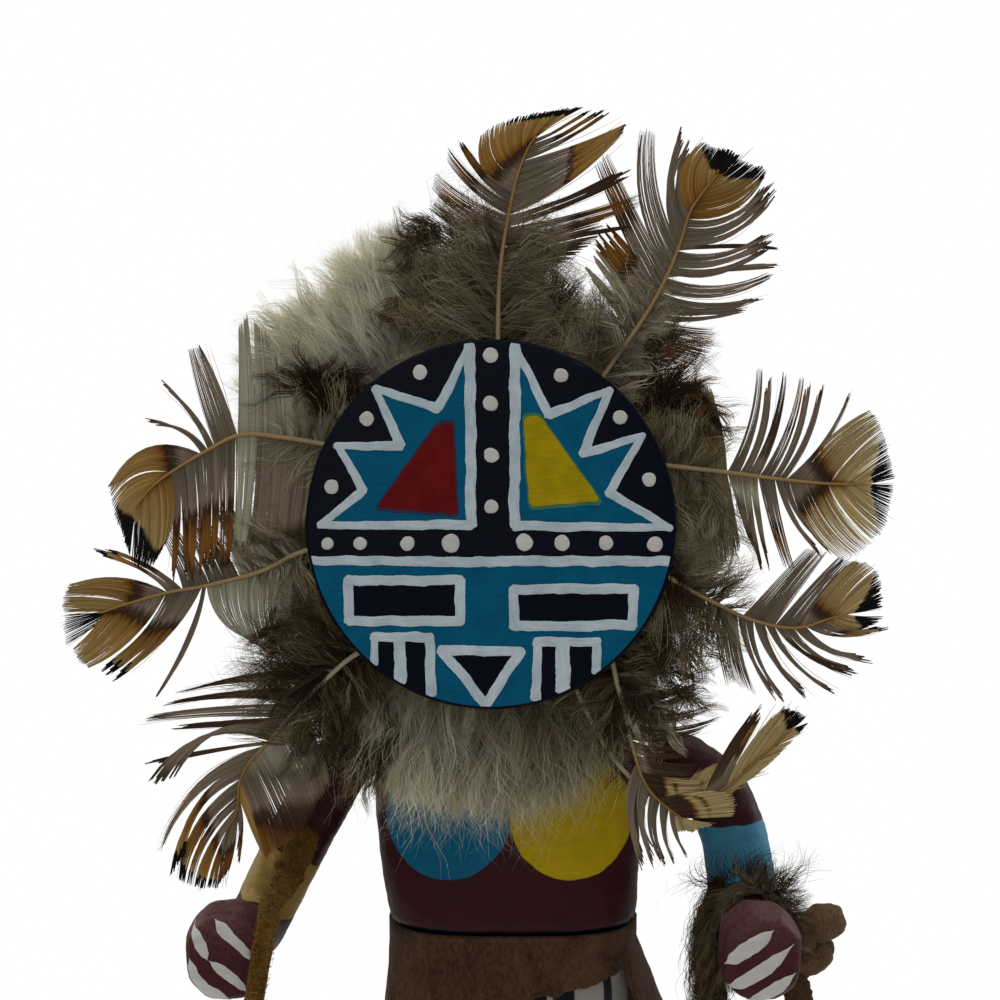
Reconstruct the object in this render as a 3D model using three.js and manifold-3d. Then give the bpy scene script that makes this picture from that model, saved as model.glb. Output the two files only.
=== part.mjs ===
// A sun-face kachina doll: a carved and painted wooden figure on a round wooden base, with a round
// wooden face, a rabbit-fur ruff, nine pheasant feathers and suede and cloth dress.
// Millimetres, +Z up, the figure looks along -Y, and the origin is the middle of the base's underside.
import * as THREE from "three";
import { mergeVertices } from "three/addons/utils/BufferGeometryUtils.js";
import Module from "manifold-3d";

const wasm = await Module();
wasm.setup();

// Driving dimensions
const BASE = { radius: 46, height: 16, bevel: 2 };
const FACE = {
  radius: 35, thickness: 6, bevel: 0.8, x: -3.7, backY: -22, z: 201.8, tiltDeg: -6.1,
  discRadius: 35.7, discRight: 0.35, discDown: 0.55,
};
const GAP = 0.3; // the clearance between pieces that touch
const TORSO = { bottom: 76, top: 165, squareness: 3.2 };
const WAIST_Z = 117.5; // top edge of the suede wrap
const KILT = { hem: 70, top: 112, thickness: 1 };
const HEAD = { radius: 24, depth: 38, neck: 16 };
const FEATHER = {
  thickness: 1,
  layerPitch: 1.6,
  firstLayer: 0.4,
  lift: 4, // how far a tip curls forward
};

const PAINT = {
  wood: new THREE.MeshStandardMaterial({ color: 0xb08a5a, roughness: 0.6, metalness: 0 }),
  maroon: new THREE.MeshStandardMaterial({ color: 0x4a2223, roughness: 0.45, metalness: 0 }),
  turquoise: new THREE.MeshStandardMaterial({ color: 0x0e6f96, roughness: 0.4, metalness: 0 }),
  suede: new THREE.MeshStandardMaterial({ color: 0x5a3c22, roughness: 0.95, metalness: 0 }),
  tanSuede: new THREE.MeshStandardMaterial({ color: 0x8a6630, roughness: 0.95, metalness: 0 }),
  whiteCloth: new THREE.MeshStandardMaterial({ color: 0xc8c4ba, roughness: 0.9, metalness: 0 }),
  fur: new THREE.MeshStandardMaterial({ color: 0x8a8068, roughness: 0.9, metalness: 0 }),
  feather: new THREE.MeshStandardMaterial({ color: 0xa57c48, roughness: 0.7, metalness: 0 }),
};

const radians = THREE.MathUtils.degToRad;
const mix = THREE.MathUtils.lerp;
const ease = THREE.MathUtils.smoothstep;

// --- solids ---------------------------------------------------------------------------------------

// A three.js geometry as a manifold-3d solid, with its shared vertices merged.
function solid(geometry) {
  const bare = geometry.index ? geometry.toNonIndexed() : geometry.clone();
  bare.deleteAttribute("normal");
  bare.deleteAttribute("uv");
  const merged = mergeVertices(bare, 1e-4);
  return new wasm.Manifold(
    new wasm.Mesh({
      numProp: 3,
      vertProperties: merged.attributes.position.array,
      triVerts: new Uint32Array(merged.index.array),
    }),
  );
}

function geometryOf(manifold) {
  const mesh = manifold.getMesh();
  return new THREE.BufferGeometry()
    .setAttribute("position", new THREE.BufferAttribute(new Float32Array(mesh.vertProperties), 3))
    .setIndex(new THREE.BufferAttribute(new Uint32Array(mesh.triVerts), 1));
}

function join(...geometries) {
  return geometries.map(solid).reduce((all, one) => all.add(one));
}

function largest(manifold) {
  return manifold.decompose().reduce((best, one) => (one.volume() > best.volume() ? one : best));
}

function named(name, geometry, material) {
  const mesh = new THREE.Mesh(geometry, material);
  mesh.name = name;
  return mesh;
}

// One coordinate of a superellipse: exponent 2 is an ellipse, and more is squarer.
function squared(unit, exponent) {
  return Math.sign(unit) * Math.abs(unit) ** (2 / exponent);
}

// A closed form from level sections {z, a, b, x, y, n}: half width a, half depth b, centre x and y.
function stacked(sections, segments) {
  const ends = [sections[0], ...sections, sections.at(-1)];
  const profile = ends.map((s, row) => new THREE.Vector2(row % (ends.length - 1) ? 1 : 0, s.z));
  const geometry = new THREE.LatheGeometry(profile, segments);
  const position = geometry.attributes.position;
  for (let turn = 0; turn <= segments; turn += 1) {
    const angle = ((turn % segments) / segments) * 2 * Math.PI;
    ends.forEach(({ z, a, b, x = 0, y = 0, n = 2 }, row) => {
      const reach = profile[row].x;
      const across = x + reach * a * squared(Math.sin(angle), n);
      const deep = y - reach * b * squared(Math.cos(angle), n);
      position.setXYZ(turn * ends.length + row, across, deep, z);
    });
  }
  return geometry;
}

// A closed ring round an axis: place(angle, corner) gives each corner of its closed outline.
function sleeve(segments, corners, place) {
  const profile = Array.from({ length: corners + 1 }, (_, corner) => {
    const turn = (corner / corners) * 2 * Math.PI;
    return new THREE.Vector2(2 + Math.cos(turn), Math.sin(turn));
  });
  const geometry = new THREE.LatheGeometry(profile, segments);
  const position = geometry.attributes.position;
  for (let turn = 0; turn <= segments; turn += 1) {
    const angle = ((turn % segments) / segments) * 2 * Math.PI;
    for (let corner = 0; corner <= corners; corner += 1) {
      const { x, y, z } = place(angle, corner % corners);
      position.setXYZ(turn * (corners + 1) + corner, x, y, z);
    }
  }
  return geometry;
}

// A round limb from one point to another, with a radius at each end and rounded ends.
function limb(from, to, fromRadius, toRadius, segments = 14) {
  const start = new THREE.Vector3(...from);
  const end = new THREE.Vector3(...to);
  const length = start.distanceTo(end);
  const profile = [new THREE.Vector2(0, -fromRadius)];
  for (const step of [-50, 0]) {
    const turn = radians(step);
    profile.push(new THREE.Vector2(fromRadius * Math.cos(turn), fromRadius * Math.sin(turn)));
  }
  for (const step of [0, 50]) {
    const turn = radians(step);
    profile.push(new THREE.Vector2(toRadius * Math.cos(turn), length + toRadius * Math.sin(turn)));
  }
  profile.push(new THREE.Vector2(0, length + toRadius));
  const geometry = new THREE.LatheGeometry(profile, segments);
  const along = end.clone().sub(start).normalize();
  const turn = new THREE.Quaternion().setFromUnitVectors(new THREE.Vector3(0, 1, 0), along);
  return geometry.applyQuaternion(turn).translate(...from);
}

// --- the wooden figure ----------------------------------------------------------------------------

function turnedDisc(radius, height, bevel, segments) {
  const profile = [
    [0, 0],
    [radius - bevel, 0],
    [radius, bevel],
    [radius, height - bevel],
    [radius - bevel, height],
    [0, height],
  ].map(([r, z]) => new THREE.Vector2(r, z));
  return new THREE.LatheGeometry(profile, segments).rotateX(Math.PI / 2);
}

// The hips are cut back under a ledge at the waist, so that the dress lies flush with the chest.
const LEDGE_Z = WAIST_Z + GAP;
const TORSO_SECTIONS = [
  { z: TORSO.bottom, a: 20, b: 14.5, x: 0.6, n: 2.8 },
  { z: 79, a: 22, b: 16, x: 0.8, n: 3 },
  { z: LEDGE_Z, a: 22.4, b: 16, x: 1.1, n: TORSO.squareness },
  { z: LEDGE_Z, a: 25.5, b: 19, x: 1.1, n: TORSO.squareness },
  { z: 127, a: 26.4, b: 19.2, x: 0.6, n: TORSO.squareness },
  { z: 138, a: 27.2, b: 19, x: 0, n: TORSO.squareness },
  { z: 148, a: 27.2, b: 18.6, x: 0, n: 3 },
  { z: 158, a: 24, b: 16.6, x: -0.4, n: 2.7 },
  { z: TORSO.top, a: 18.5, b: 13, x: -0.8, n: 2.3 },
];

// The hips' half width, half depth and centre at a height below the ledge.
function hipsAt(z) {
  const [, low, high] = TORSO_SECTIONS;
  const share = THREE.MathUtils.clamp((z - low.z) / (high.z - low.z), 0, 1);
  return { a: mix(low.a, high.a, share), b: mix(low.b, high.b, share), x: mix(low.x, high.x, share) };
}

function torso(extra = 0) {
  const sections = TORSO_SECTIONS.map((s) => ({ ...s, a: s.a + extra, b: s.b + extra }));
  return stacked(sections, 40);
}

const LEG = { x: 11.5, bootTop: 44 };

function leg(side) {
  const x = side * LEG.x;
  const shin = [
    { z: BASE.height, a: 6.4, b: 7.2, x: x + side * 1.2, y: 1.5 },
    { z: 26, a: 6.2, b: 6.6, x: x + side * 0.8, y: 1.5 },
    { z: LEG.bootTop, a: 7.6, b: 8.4, x: x + side * 0.4, y: 1.8 },
    { z: 54, a: 7.2, b: 7.8, x, y: 0.6 },
    { z: 62, a: 7.8, b: 8.4, x, y: -0.4 },
    { z: TORSO.bottom + 6, a: 9.4, b: 10, x: x - side * 0.4, y: 0 },
  ];
  return stacked(shin, 14);
}

function foot(side) {
  const x = side * (LEG.x + 1.6);
  const sole = BASE.height;
  const sections = [
    { z: sole, a: 7.4, b: 16, x, y: -8, n: 2.6 },
    { z: sole + 3, a: 7.8, b: 16.4, x, y: -8, n: 2.6 },
    { z: sole + 7, a: 7, b: 13.6, x, y: -6, n: 2.4 },
    { z: sole + 11, a: 5.6, b: 9, x, y: -2, n: 2.2 },
  ];
  return stacked(sections, 14);
}

// The head is a short drum behind the face, square to it, on a round neck.
function placeOnHead(geometry) {
  return geometry.rotateX(radians(FACE.tiltDeg)).translate(FACE.x, FACE.backY, FACE.z);
}

function headDrum(extra = 0) {
  const radius = HEAD.radius + extra;
  const profile = [
    [0, GAP - extra],
    [radius, GAP - extra],
    [radius, HEAD.depth * 0.7],
    [radius * 0.9, HEAD.depth * 0.88],
    [radius * 0.6, HEAD.depth * 0.98],
    [0, HEAD.depth + extra],
  ].map(([r, y]) => new THREE.Vector2(r, y));
  return placeOnHead(new THREE.LatheGeometry(profile, 28));
}

function neck(extra = 0) {
  const radius = HEAD.neck + extra;
  const sections = [
    { z: TORSO.top - 8, a: radius, b: radius - 4, x: -1, y: 0 },
    { z: TORSO.top + 6, a: radius, b: radius - 3, x: -2.4, y: -3 },
    { z: FACE.z - 12, a: radius, b: radius - 2, x: FACE.x, y: -5 },
  ];
  return stacked(sections, 24);
}

function body() {
  const pieces = [torso(), neck(), headDrum()];
  for (const side of [-1, 1]) pieces.push(leg(side), foot(side));
  return named("body", geometryOf(join(...pieces)), PAINT.maroon);
}

// A whittled fist: an eight-sided block with bevelled ends, its knuckle edge a little off the middle.
function fist(centre, turnDeg) {
  const [halfWide, halfHigh, chamfer] = [7.6, 8.6, 4.2];
  const outline = new THREE.Shape(
    [
      [halfWide, -halfHigh + chamfer],
      [halfWide, halfHigh - chamfer],
      [halfWide - chamfer, halfHigh],
      [-halfWide + chamfer, halfHigh],
      [-halfWide, halfHigh - chamfer],
      [-halfWide, -halfHigh + chamfer],
      [-halfWide + chamfer, -halfHigh],
      [halfWide - chamfer, -halfHigh],
    ].map(([x, y]) => new THREE.Vector2(x, y)),
  );
  const bevel = { bevelEnabled: true, bevelThickness: 2.8, bevelSize: 2.4, bevelOffset: -2.4, bevelSegments: 2 };
  const block = new THREE.ExtrudeGeometry(outline, { depth: 9, ...bevel });
  return block
    .translate(0, 0, -4.5)
    .rotateX(Math.PI / 2)
    .rotateY(radians(turnDeg))
    .translate(...centre);
}

const ARMS = {
  left_arm: {
    upper: [
      [-34.5, 0, 149, 6.6],
      [-43, -1, 134, 6.8],
      [-52.2, -3, 115, 6.4],
    ],
    wrist: [-53.4, -30, 120.5, 6.6],
    fist: [-53.7, -37, 121],
    turnDeg: -4,
  },
  right_arm: {
    upper: [
      [34.5, 0, 149, 7],
      [43, 0, 143.5, 7],
      [47, -2, 134, 7],
      [49, -4, 120, 7.6],
    ],
    wrist: [48.2, -30, 120.4, 6.8],
    fist: [48.1, -37, 120.8],
    turnDeg: 4,
  },
};

function arm(name) {
  const { upper, wrist, fist: knuckles, turnDeg } = ARMS[name];
  const joints = [...upper, wrist];
  const pieces = joints.slice(1).map((to, i) => {
    const from = joints[i];
    return limb(from.slice(0, 3), to.slice(0, 3), from[3], to[3]);
  });
  pieces.push(fist(knuckles, turnDeg));
  const carved = join(...pieces).subtract(solid(torso(GAP)));
  return named(name, geometryOf(carved), PAINT.maroon);
}

// --- dress ----------------------------------------------------------------------------------------

// A point round the hips at an angle from the front, so far out from their surface.
function aroundHips(angle, z, out) {
  const { a, b, x } = hipsAt(z);
  const n = TORSO.squareness;
  return {
    x: x + (a + out) * squared(Math.sin(angle), n),
    y: -(b + out) * squared(Math.cos(angle), n),
    z,
  };
}

// A garment's outline at an angle: rows of {z, out} down its inner face, then back up its outer one.
function garment(segments, rows, thickness, sideAt) {
  return sleeve(segments, rows * 2, (angle, corner) => {
    const inner = corner < rows;
    const row = inner ? corner : 2 * rows - 1 - corner;
    const { z, out } = sideAt(angle, row / (rows - 1));
    return aroundHips(angle, z, out + (inner ? 0 : thickness));
  });
}

function kilt() {
  const sideAt = (angle, down) => {
    const fold = 0.5 * Math.cos(angle * 9) * down;
    return { z: mix(KILT.top, KILT.hem, down), out: GAP + 0.2 + 2.4 * down * down + fold + 0.5 * down };
  };
  return named("kilt", garment(56, 3, KILT.thickness, sideAt), PAINT.whiteCloth);
}

// The wrap's lower edge: angle from the front in degrees (+ is the figure's left) and height. It
// opens over the front of the kilt, and one end hangs there as a flap.
const WRAP_HEM = [
  [-180, 80],
  [-110, 82],
  [-72, 90],
  [-34, 98],
  [0, 105.4],
  [30, 108.2],
  [54, 110.6],
  [63, 85],
  [100, 82],
  [180, 80],
];

function between(table, key) {
  const next = Math.max(1, table.findIndex(([at]) => at >= key));
  const [[from, low], [to, high]] = [table[next - 1], table[next]];
  return mix(low, high, (key - from) / (to - from));
}

function suedeWrap() {
  const sideAt = (angle, down) => {
    const degrees = (((angle * 180) / Math.PI + 180) % 360) - 180;
    const z = mix(WAIST_Z, between(WRAP_HEM, degrees), down);
    const flare = Math.max(0, (KILT.top + 1 - z) / 10);
    const wave = 0.4 * Math.cos(angle * 7 + 1) * Math.min(1, flare);
    const spread = 2.2 + 0.9 * Math.sin(angle);
    return { z, out: KILT.thickness + 2 * GAP + 0.2 + spread * flare ** 1.1 + wave };
  };
  return named("suede_wrap", garment(66, 4, 1.4, sideAt), PAINT.suede);
}

// A flat strip along a curve, as wide as width(share) and facing the direction given.
function strip(points, widths, thickness, facing) {
  const curve = new THREE.CatmullRomCurve3(points.map((p) => new THREE.Vector3(...p)));
  const steps = 12;
  const front = new THREE.Vector3(...facing).normalize();
  const sections = Array.from({ length: steps + 1 }, (_, step) => {
    const share = step / steps;
    const at = curve.getPointAt(share);
    const along = curve.getTangentAt(share);
    const across = new THREE.Vector3().crossVectors(along, front).normalize();
    const out = new THREE.Vector3().crossVectors(across, along).normalize();
    const place = share * (widths.length - 1);
    const low = Math.min(widths.length - 2, Math.floor(place));
    const half = mix(widths[low], widths[low + 1], place - low) / 2;
    return [
      [-1, -1],
      [1, -1],
      [1, 1],
      [-1, 1],
    ].map(([u, v]) => at.clone().addScaledVector(across, u * half).addScaledVector(out, (v * thickness) / 2));
  });
  const box = new THREE.BoxGeometry(1, 1, 1, 1, 1, steps);
  const position = box.attributes.position;
  for (let i = 0; i < position.count; i += 1) {
    const row = Math.round((0.5 - position.getZ(i)) * steps);
    const right = position.getX(i) > 0;
    const up = position.getY(i) > 0;
    const corner = sections[row][up ? (right ? 2 : 3) : right ? 1 : 0];
    position.setXYZ(i, corner.x, corner.y, corner.z);
  }
  return box;
}

// A strip of tan suede that hangs down the inner side of the left forearm.
function armThong() {
  const route = [
    [-40.9, -10.6, 137.2],
    [-43.4, -16.6, 131.4],
    [-44.2, -26, 130],
    [-45.2, -38, 130],
    [-46, -46.2, 125],
    [-47.4, -47, 116],
    [-49, -46.8, 106],
    [-50.2, -46, 94],
  ];
  const widths = [5.6, 6.4, 5.4, 4.2, 3.8, 3.6, 3.6, 3.6];
  return named("arm_thong", strip(route, widths, 1.2, [0.2, -0.7, 0.7]), PAINT.tanSuede);
}

// The fur band round the right forearm, just behind the fist.
function cuffBand(extra = 0) {
  const [x, , z] = ARMS.right_arm.wrist;
  const inner = 7.6;
  const profile = [
    [inner, -27 - extra],
    [8.2 + extra, -27 - extra],
    [10.6 + extra, -21],
    [9.8 + extra, -13 + extra],
    [inner, -13 + extra],
    [inner, -27 - extra],
  ].map(([r, y]) => new THREE.Vector2(r, y));
  return new THREE.LatheGeometry(profile, 24).translate(x + 0.4, 0, z - 0.2);
}

function furCuff() {
  const route = [
    [38.6, -15, 127],
    [39, -18, 118],
    [40.6, -19, 106],
    [44, -19, 96],
  ];
  const end = strip(route, [5, 6.4, 6, 3], 2.6, [-0.5, -1, 0]);
  const cuff = join(cuffBand(), end).subtract(armSpace(ARMS.right_arm));
  return named("fur_cuff", geometryOf(cuff), PAINT.fur);
}

// The space that a forearm takes, with the clearance round it.
function armSpace({ upper, wrist }) {
  const elbow = upper.at(-1);
  const grow = GAP + 0.1;
  return solid(limb(elbow.slice(0, 3), wrist.slice(0, 3), elbow[3] + grow, wrist[3] + grow, 20));
}

// The suede lace knotted on the outer side of the fur cuff: two plump bows and a hanging tail.
function cuffTie() {
  const upperBow = new THREE.SphereGeometry(1, 12, 8).scale(5.4, 4.4, 4.2).rotateY(radians(18));
  const lowerBow = new THREE.SphereGeometry(1, 12, 8).scale(4.8, 4.2, 3.8).rotateY(radians(38));
  const knot = new THREE.SphereGeometry(1, 10, 6).scale(2.6, 3, 3.6);
  upperBow.translate(63.2, -15, 119.4);
  lowerBow.translate(62, -14, 112.2);
  knot.translate(59.4, -15.5, 116.4);
  const route = [
    [59.4, -14.5, 113],
    [58.6, -15, 106],
    [60.2, -15.5, 97],
    [61.4, -15, 86],
  ];
  const tail = strip(route, [3.5, 5.6, 6.4, 5.4], 1.4, [0.3, -1, 0]);
  const tie = join(upperBow, lowerBow, knot, tail).subtract(solid(cuffBand(GAP)));
  return named("cuff_tie", geometryOf(largest(tie)), PAINT.suede);
}

// --- the head -------------------------------------------------------------------------------------

function sunFace() {
  const disc = turnedDisc(FACE.discRadius, FACE.thickness, FACE.bevel, 56);
  disc.rotateX(Math.PI / 2).translate(FACE.discRight, 0, -FACE.discDown);
  return named("sun_face", placeOnHead(disc), PAINT.turquoise);
}

// The ruff's outer radius, front and back at an angle counted from +X towards +Z, in the face's plane.
const RUFF = [
  { deg: 0, reach: 46, front: 5.6, back: 15 },
  { deg: 30, reach: 48, front: 5.6, back: 15 },
  { deg: 60, reach: 50, front: 5.6, back: 16 },
  { deg: 90, reach: 55, front: 5.6, back: 16 },
  { deg: 112, reach: 60, front: 5.6, back: 16 },
  { deg: 135, reach: 62, front: 5.6, back: 16 },
  { deg: 155, reach: 54, front: 5.6, back: 15 },
  { deg: 180, reach: 46, front: 5.6, back: 15 },
  { deg: 205, reach: 48, front: 5.6, back: 14 },
  { deg: 226, reach: 54, front: 5.6, back: 11 },
  { deg: 242, reach: 58.6, front: 3, back: 9 },
  { deg: 256, reach: 59.4, front: 1.8, back: 8.4 },
  { deg: 270, reach: 59.2, front: 1.8, back: 8.4 },
  { deg: 282, reach: 59.4, front: 1.8, back: 8.4 },
  { deg: 292, reach: 58, front: 4, back: 9 },
  { deg: 314, reach: 50, front: 5.6, back: 11 },
  { deg: 336, reach: 46, front: 5.6, back: 14 },
  { deg: 360, reach: 46, front: 5.6, back: 15 },
];

function ruffAt(deg) {
  const next = Math.max(1, RUFF.findIndex((r) => r.deg >= deg));
  const [a, b] = [RUFF[next - 1], RUFF[next]];
  const share = ease(deg, a.deg, b.deg);
  return {
    reach: mix(a.reach, b.reach, share),
    front: mix(a.front, b.front, share),
    back: mix(a.back, b.back, share),
  };
}

// A thick ring of fur behind the face, longest over the chest, with tufts round its edge.
function furRuff() {
  const inner = HEAD.radius + GAP + 0.2;
  const geometry = sleeve(60, 7, (angle, corner) => {
    const deg = ((angle * 180) / Math.PI + 360) % 360;
    const { reach, front, back } = ruffAt(deg);
    const tufted = reach + 1.2 * Math.cos(angle * 15) + 0.8 * Math.cos(angle * 7 + 2);
    const rows = [
      [tufted, mix(front, back, 0.35)],
      [mix(inner, tufted, 0.94), front + 0.4],
      [mix(inner, tufted, 0.5), front],
      [inner, front],
      [inner, back + 8],
      [mix(inner, tufted, 0.5), back + 2],
      [mix(inner, tufted, 0.92), mix(front, back, 0.75)],
    ];
    const [r, y] = rows[corner];
    return { x: r * Math.cos(angle), y, z: r * Math.sin(angle) };
  });
  const ring = solid(placeOnHead(geometry));
  const clear = [torso(GAP), neck(GAP), headDrum(GAP)].map(solid).reduce((all, one) => all.add(one));
  return named("fur_ruff", geometryOf(largest(ring.subtract(clear))), PAINT.fur);
}

// Each feather's outline in the face's plane, clockwise from its root, with the deeper splits between
// its barbs, and the layer it lies in.
const FEATHERS = [
  {
    // top, curling right
    layer: 0,
    outline: [
      [0.7, 28], [2.5, 28], [3.4, 37], [10, 41], [14.8, 49.6], [21.5, 56], [14.5, 56], [28.6, 57.4],
      [29.4, 63.8], [13.5, 61.4], [28.4, 68.1], [12.4, 66], [26.3, 77], [14.2, 74.2], [23.4, 80], [18, 80.6],
      [11, 79.6], [4, 78.1], [-0.6, 76], [-2.2, 72.4], [-0.8, 68.8], [-5.9, 74], [-8.2, 72.4], [-5.4, 66.8],
      [-10.4, 67.8], [-11.5, 63.4], [-8.2, 59.4], [-17.4, 59.6], [-14.5, 49], [-11, 41], [-0.4, 37],
    ],
  },
  {
    // upper right
    layer: 1,
    outline: [
      [18.3, 20.3], [20.1, 19.7], [25.5, 27], [40, 28.8], [44.2, 37.2], [37.4, 40], [53.5, 43.6], [40.6, 47],
      [54.8, 47.8], [42.6, 52.2], [56.4, 55], [45.4, 57.8], [55.9, 64.1], [53.9, 69], [46.8, 72.4], [41, 73.8],
      [38, 69.4], [37.3, 76], [31, 76], [30.4, 63.6], [22, 71.2], [19.6, 68.4], [25.4, 58], [21, 57.4],
      [19.2, 51.6], [17.5, 38], [15.8, 29],
    ],
  },
  {
    // right
    layer: 0,
    outline: [
      [27, 10.3], [27, 12.1], [33.4, 15], [36, 26.6], [43.4, 26.2], [46.4, 13], [52.6, 29.8], [50.4, 13.4],
      [57.8, 28.6], [55.4, 13], [63, 27.6], [60, 13], [70, 25], [66, 14.6], [74.4, 21], [77.6, 13.6],
      [78.8, 7.8], [77.8, 0.8], [75, -3.9], [69, -7.6], [63.4, 1.6], [66, -6.7], [58.8, -9.6], [55, 2.6],
      [53.4, -9.8], [50.4, 3], [49.2, -5.4], [37, -5.4], [33.4, 7.4],
    ],
  },
  {
    // lower right, over its neighbours
    layer: 2,
    outline: [
      [26.9, -5], [28.2, -3.8], [39, -3.4], [51, -6.4], [56, -15.6], [61.8, -5.2], [66.4, -6.1], [65.6, -14.4],
      [70.6, -7.8], [75.4, -9], [77.2, -13], [77.2, -18.4], [77.6, -21.5], [71, -23], [74, -28.6], [68, -24.6],
      [70.6, -31.6], [67.6, -34.1], [61.8, -25.4], [62.4, -35.4], [56.2, -36.2], [53, -26.4], [46.6, -32.7],
      [38, -24], [32, -13],
    ],
  },
  {
    // upper left
    layer: 0,
    outline: [
      [-24.5, 12.2], [-24.9, 14], [-29.6, 18], [-35, 30.2], [-39.6, 37], [-47, 40.2], [-49.3, 37.8],
      [-50.6, 19.6], [-55.8, 34], [-58.9, 33.2], [-56.4, 17.8], [-63.4, 28.4], [-60.2, 17.4], [-68.3, 20.3],
      [-65.4, 17], [-71.4, 13.4], [-73.8, 6], [-72.8, -0.4], [-70, -7.4], [-67.6, -9.6], [-63, -4.4],
      [-60.4, 2.4], [-60.3, -11.1], [-57.6, 4.4], [-56.4, -11.4], [-53.4, 6.8], [-51, -8.6], [-46.8, -4.9],
      [-34.6, -1.9], [-30, 9.4],
    ],
  },
  {
    // left
    layer: 1,
    outline: [
      [-27.6, -5.4], [-27.2, -3.6], [-34.6, -1.6], [-40.5, 0.7], [-54, 2.6], [-60.7, 0.8], [-58.8, -9.8],
      [-64.8, -2.5], [-66.4, -11.4], [-76.8, -4.8], [-75.2, -9.4], [-81.4, -12], [-83.1, -16.4],
      [-82.7, -24.2], [-77.8, -28.7], [-72.4, -20.6], [-75.3, -30.3], [-73, -31.8], [-65.6, -18.4],
      [-57, -15.4], [-48.4, -22.6], [-43.4, -26.2], [-37.4, -27.7], [-32, -13],
    ],
  },
  {
    // lower left
    layer: 0,
    outline: [
      [-17.4, -22.1], [-18.6, -20.7], [-30, -20.6], [-41, -27], [-56, -32], [-60.8, -33.2], [-45.4, -37.6],
      [-63.6, -35.9], [-67.2, -39], [-50, -44], [-62, -44], [-66.6, -50.8], [-57.2, -49.4], [-64, -64],
      [-56.8, -58.4], [-61.7, -67.8], [-57.2, -70.4], [-53, -71.4], [-48.8, -66.2], [-47, -58.6], [-42, -67.7],
      [-43.6, -59.4], [-36.8, -62], [-30.4, -54.6], [-24, -42], [-17, -31],
    ],
  },
  {
    // lower right, hanging
    layer: 0,
    outline: [
      [21.2, -17.4], [23, -17], [29.6, -22], [35, -29.6], [42.3, -32.2], [33.4, -38.4], [45.4, -38],
      [35, -44.4], [40.6, -47.2], [36.4, -50.6], [43.6, -52.3], [47.7, -53.2], [47.7, -57.7], [43.8, -59.8],
      [36.6, -60.8], [38.8, -66.2], [29.4, -67.2], [26.8, -57], [25.4, -47], [20.4, -36], [19.4, -26],
    ],
  },
  {
    // the small one that curls up
    layer: 1,
    outline: [
      [12.3, -24.9], [13.9, -24.5], [24.9, -45.2], [34.8, -53.4], [41, -48.4], [46.8, -46], [52.8, -36.6],
      [57.2, -36.3], [62, -38.2], [62.4, -39.6], [57.6, -44.8], [50.4, -50.8], [44.4, -55.7], [36.4, -57.3],
      [23.2, -46.7],
    ],
  },
];

function feather({ outline, layer }, index) {
  const shape = new THREE.Shape(outline.map(([x, z]) => new THREE.Vector2(x, z)));
  const plate = new THREE.ExtrudeGeometry(shape, { depth: FEATHER.thickness, bevelEnabled: false });
  const near = FEATHER.firstLayer + layer * FEATHER.layerPitch;
  plate.rotateX(Math.PI / 2).translate(0, near + FEATHER.thickness, 0);
  const position = plate.attributes.position;
  for (let i = 0; i < position.count; i += 1) {
    const beyond = Math.max(0, Math.hypot(position.getX(i), position.getZ(i)) - FACE.radius - 4);
    position.setY(i, position.getY(i) - FEATHER.lift * (beyond / 50) ** 2);
  }
  return named("feather_" + (index + 1), placeOnHead(plate), PAINT.feather);
}

const doll = new THREE.Group();
doll.add(
  named("base", turnedDisc(BASE.radius, BASE.height, BASE.bevel, 52), PAINT.wood),
  body(),
  arm("left_arm"),
  arm("right_arm"),
  kilt(),
  suedeWrap(),
  armThong(),
  furCuff(),
  cuffTie(),
  sunFace(),
  furRuff(),
  ...FEATHERS.map(feather),
);

export default doll;
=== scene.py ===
"""Dresses the sun-face kachina doll: carved and painted wood, rabbit fur, pheasant feathers and suede.

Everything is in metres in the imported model's own frame. Sizes written in millimetres are turned into
metres by MM at the point of use.
"""

from __future__ import annotations

import logging
import math
from collections.abc import Callable, Iterable, Sequence
from dataclasses import dataclass, field
from enum import Enum

import bpy
import numpy as np
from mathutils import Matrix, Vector
from mathutils.bvhtree import BVHTree


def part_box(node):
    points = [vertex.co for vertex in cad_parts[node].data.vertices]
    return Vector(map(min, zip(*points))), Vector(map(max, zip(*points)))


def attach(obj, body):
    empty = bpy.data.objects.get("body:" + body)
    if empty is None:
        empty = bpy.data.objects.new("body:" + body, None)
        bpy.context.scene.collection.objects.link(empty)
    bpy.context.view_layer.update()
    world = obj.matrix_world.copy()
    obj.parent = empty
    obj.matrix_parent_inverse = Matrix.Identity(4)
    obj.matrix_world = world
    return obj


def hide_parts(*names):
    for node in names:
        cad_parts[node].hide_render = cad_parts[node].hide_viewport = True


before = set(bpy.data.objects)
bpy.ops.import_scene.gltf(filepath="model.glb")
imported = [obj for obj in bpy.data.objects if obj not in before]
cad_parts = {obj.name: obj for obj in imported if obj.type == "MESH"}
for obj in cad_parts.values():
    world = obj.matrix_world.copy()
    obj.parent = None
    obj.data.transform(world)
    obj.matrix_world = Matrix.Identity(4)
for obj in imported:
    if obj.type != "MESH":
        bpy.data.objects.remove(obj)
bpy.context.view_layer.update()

LOG = logging.getLogger("kachina")
MM = 0.001
ROOT = "root"
STRAND_MAP = "OFBake"
BRUSH_MAP = "brush"

Colour = tuple[float, float, float]
Point = tuple[float, float, float]
Lines = tuple[tuple[Point, ...], ...]
Array = np.ndarray
Piece = bpy.types.Object
Material = bpy.types.Material
Socket = bpy.types.NodeSocket


# --- shader maths ---


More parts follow.
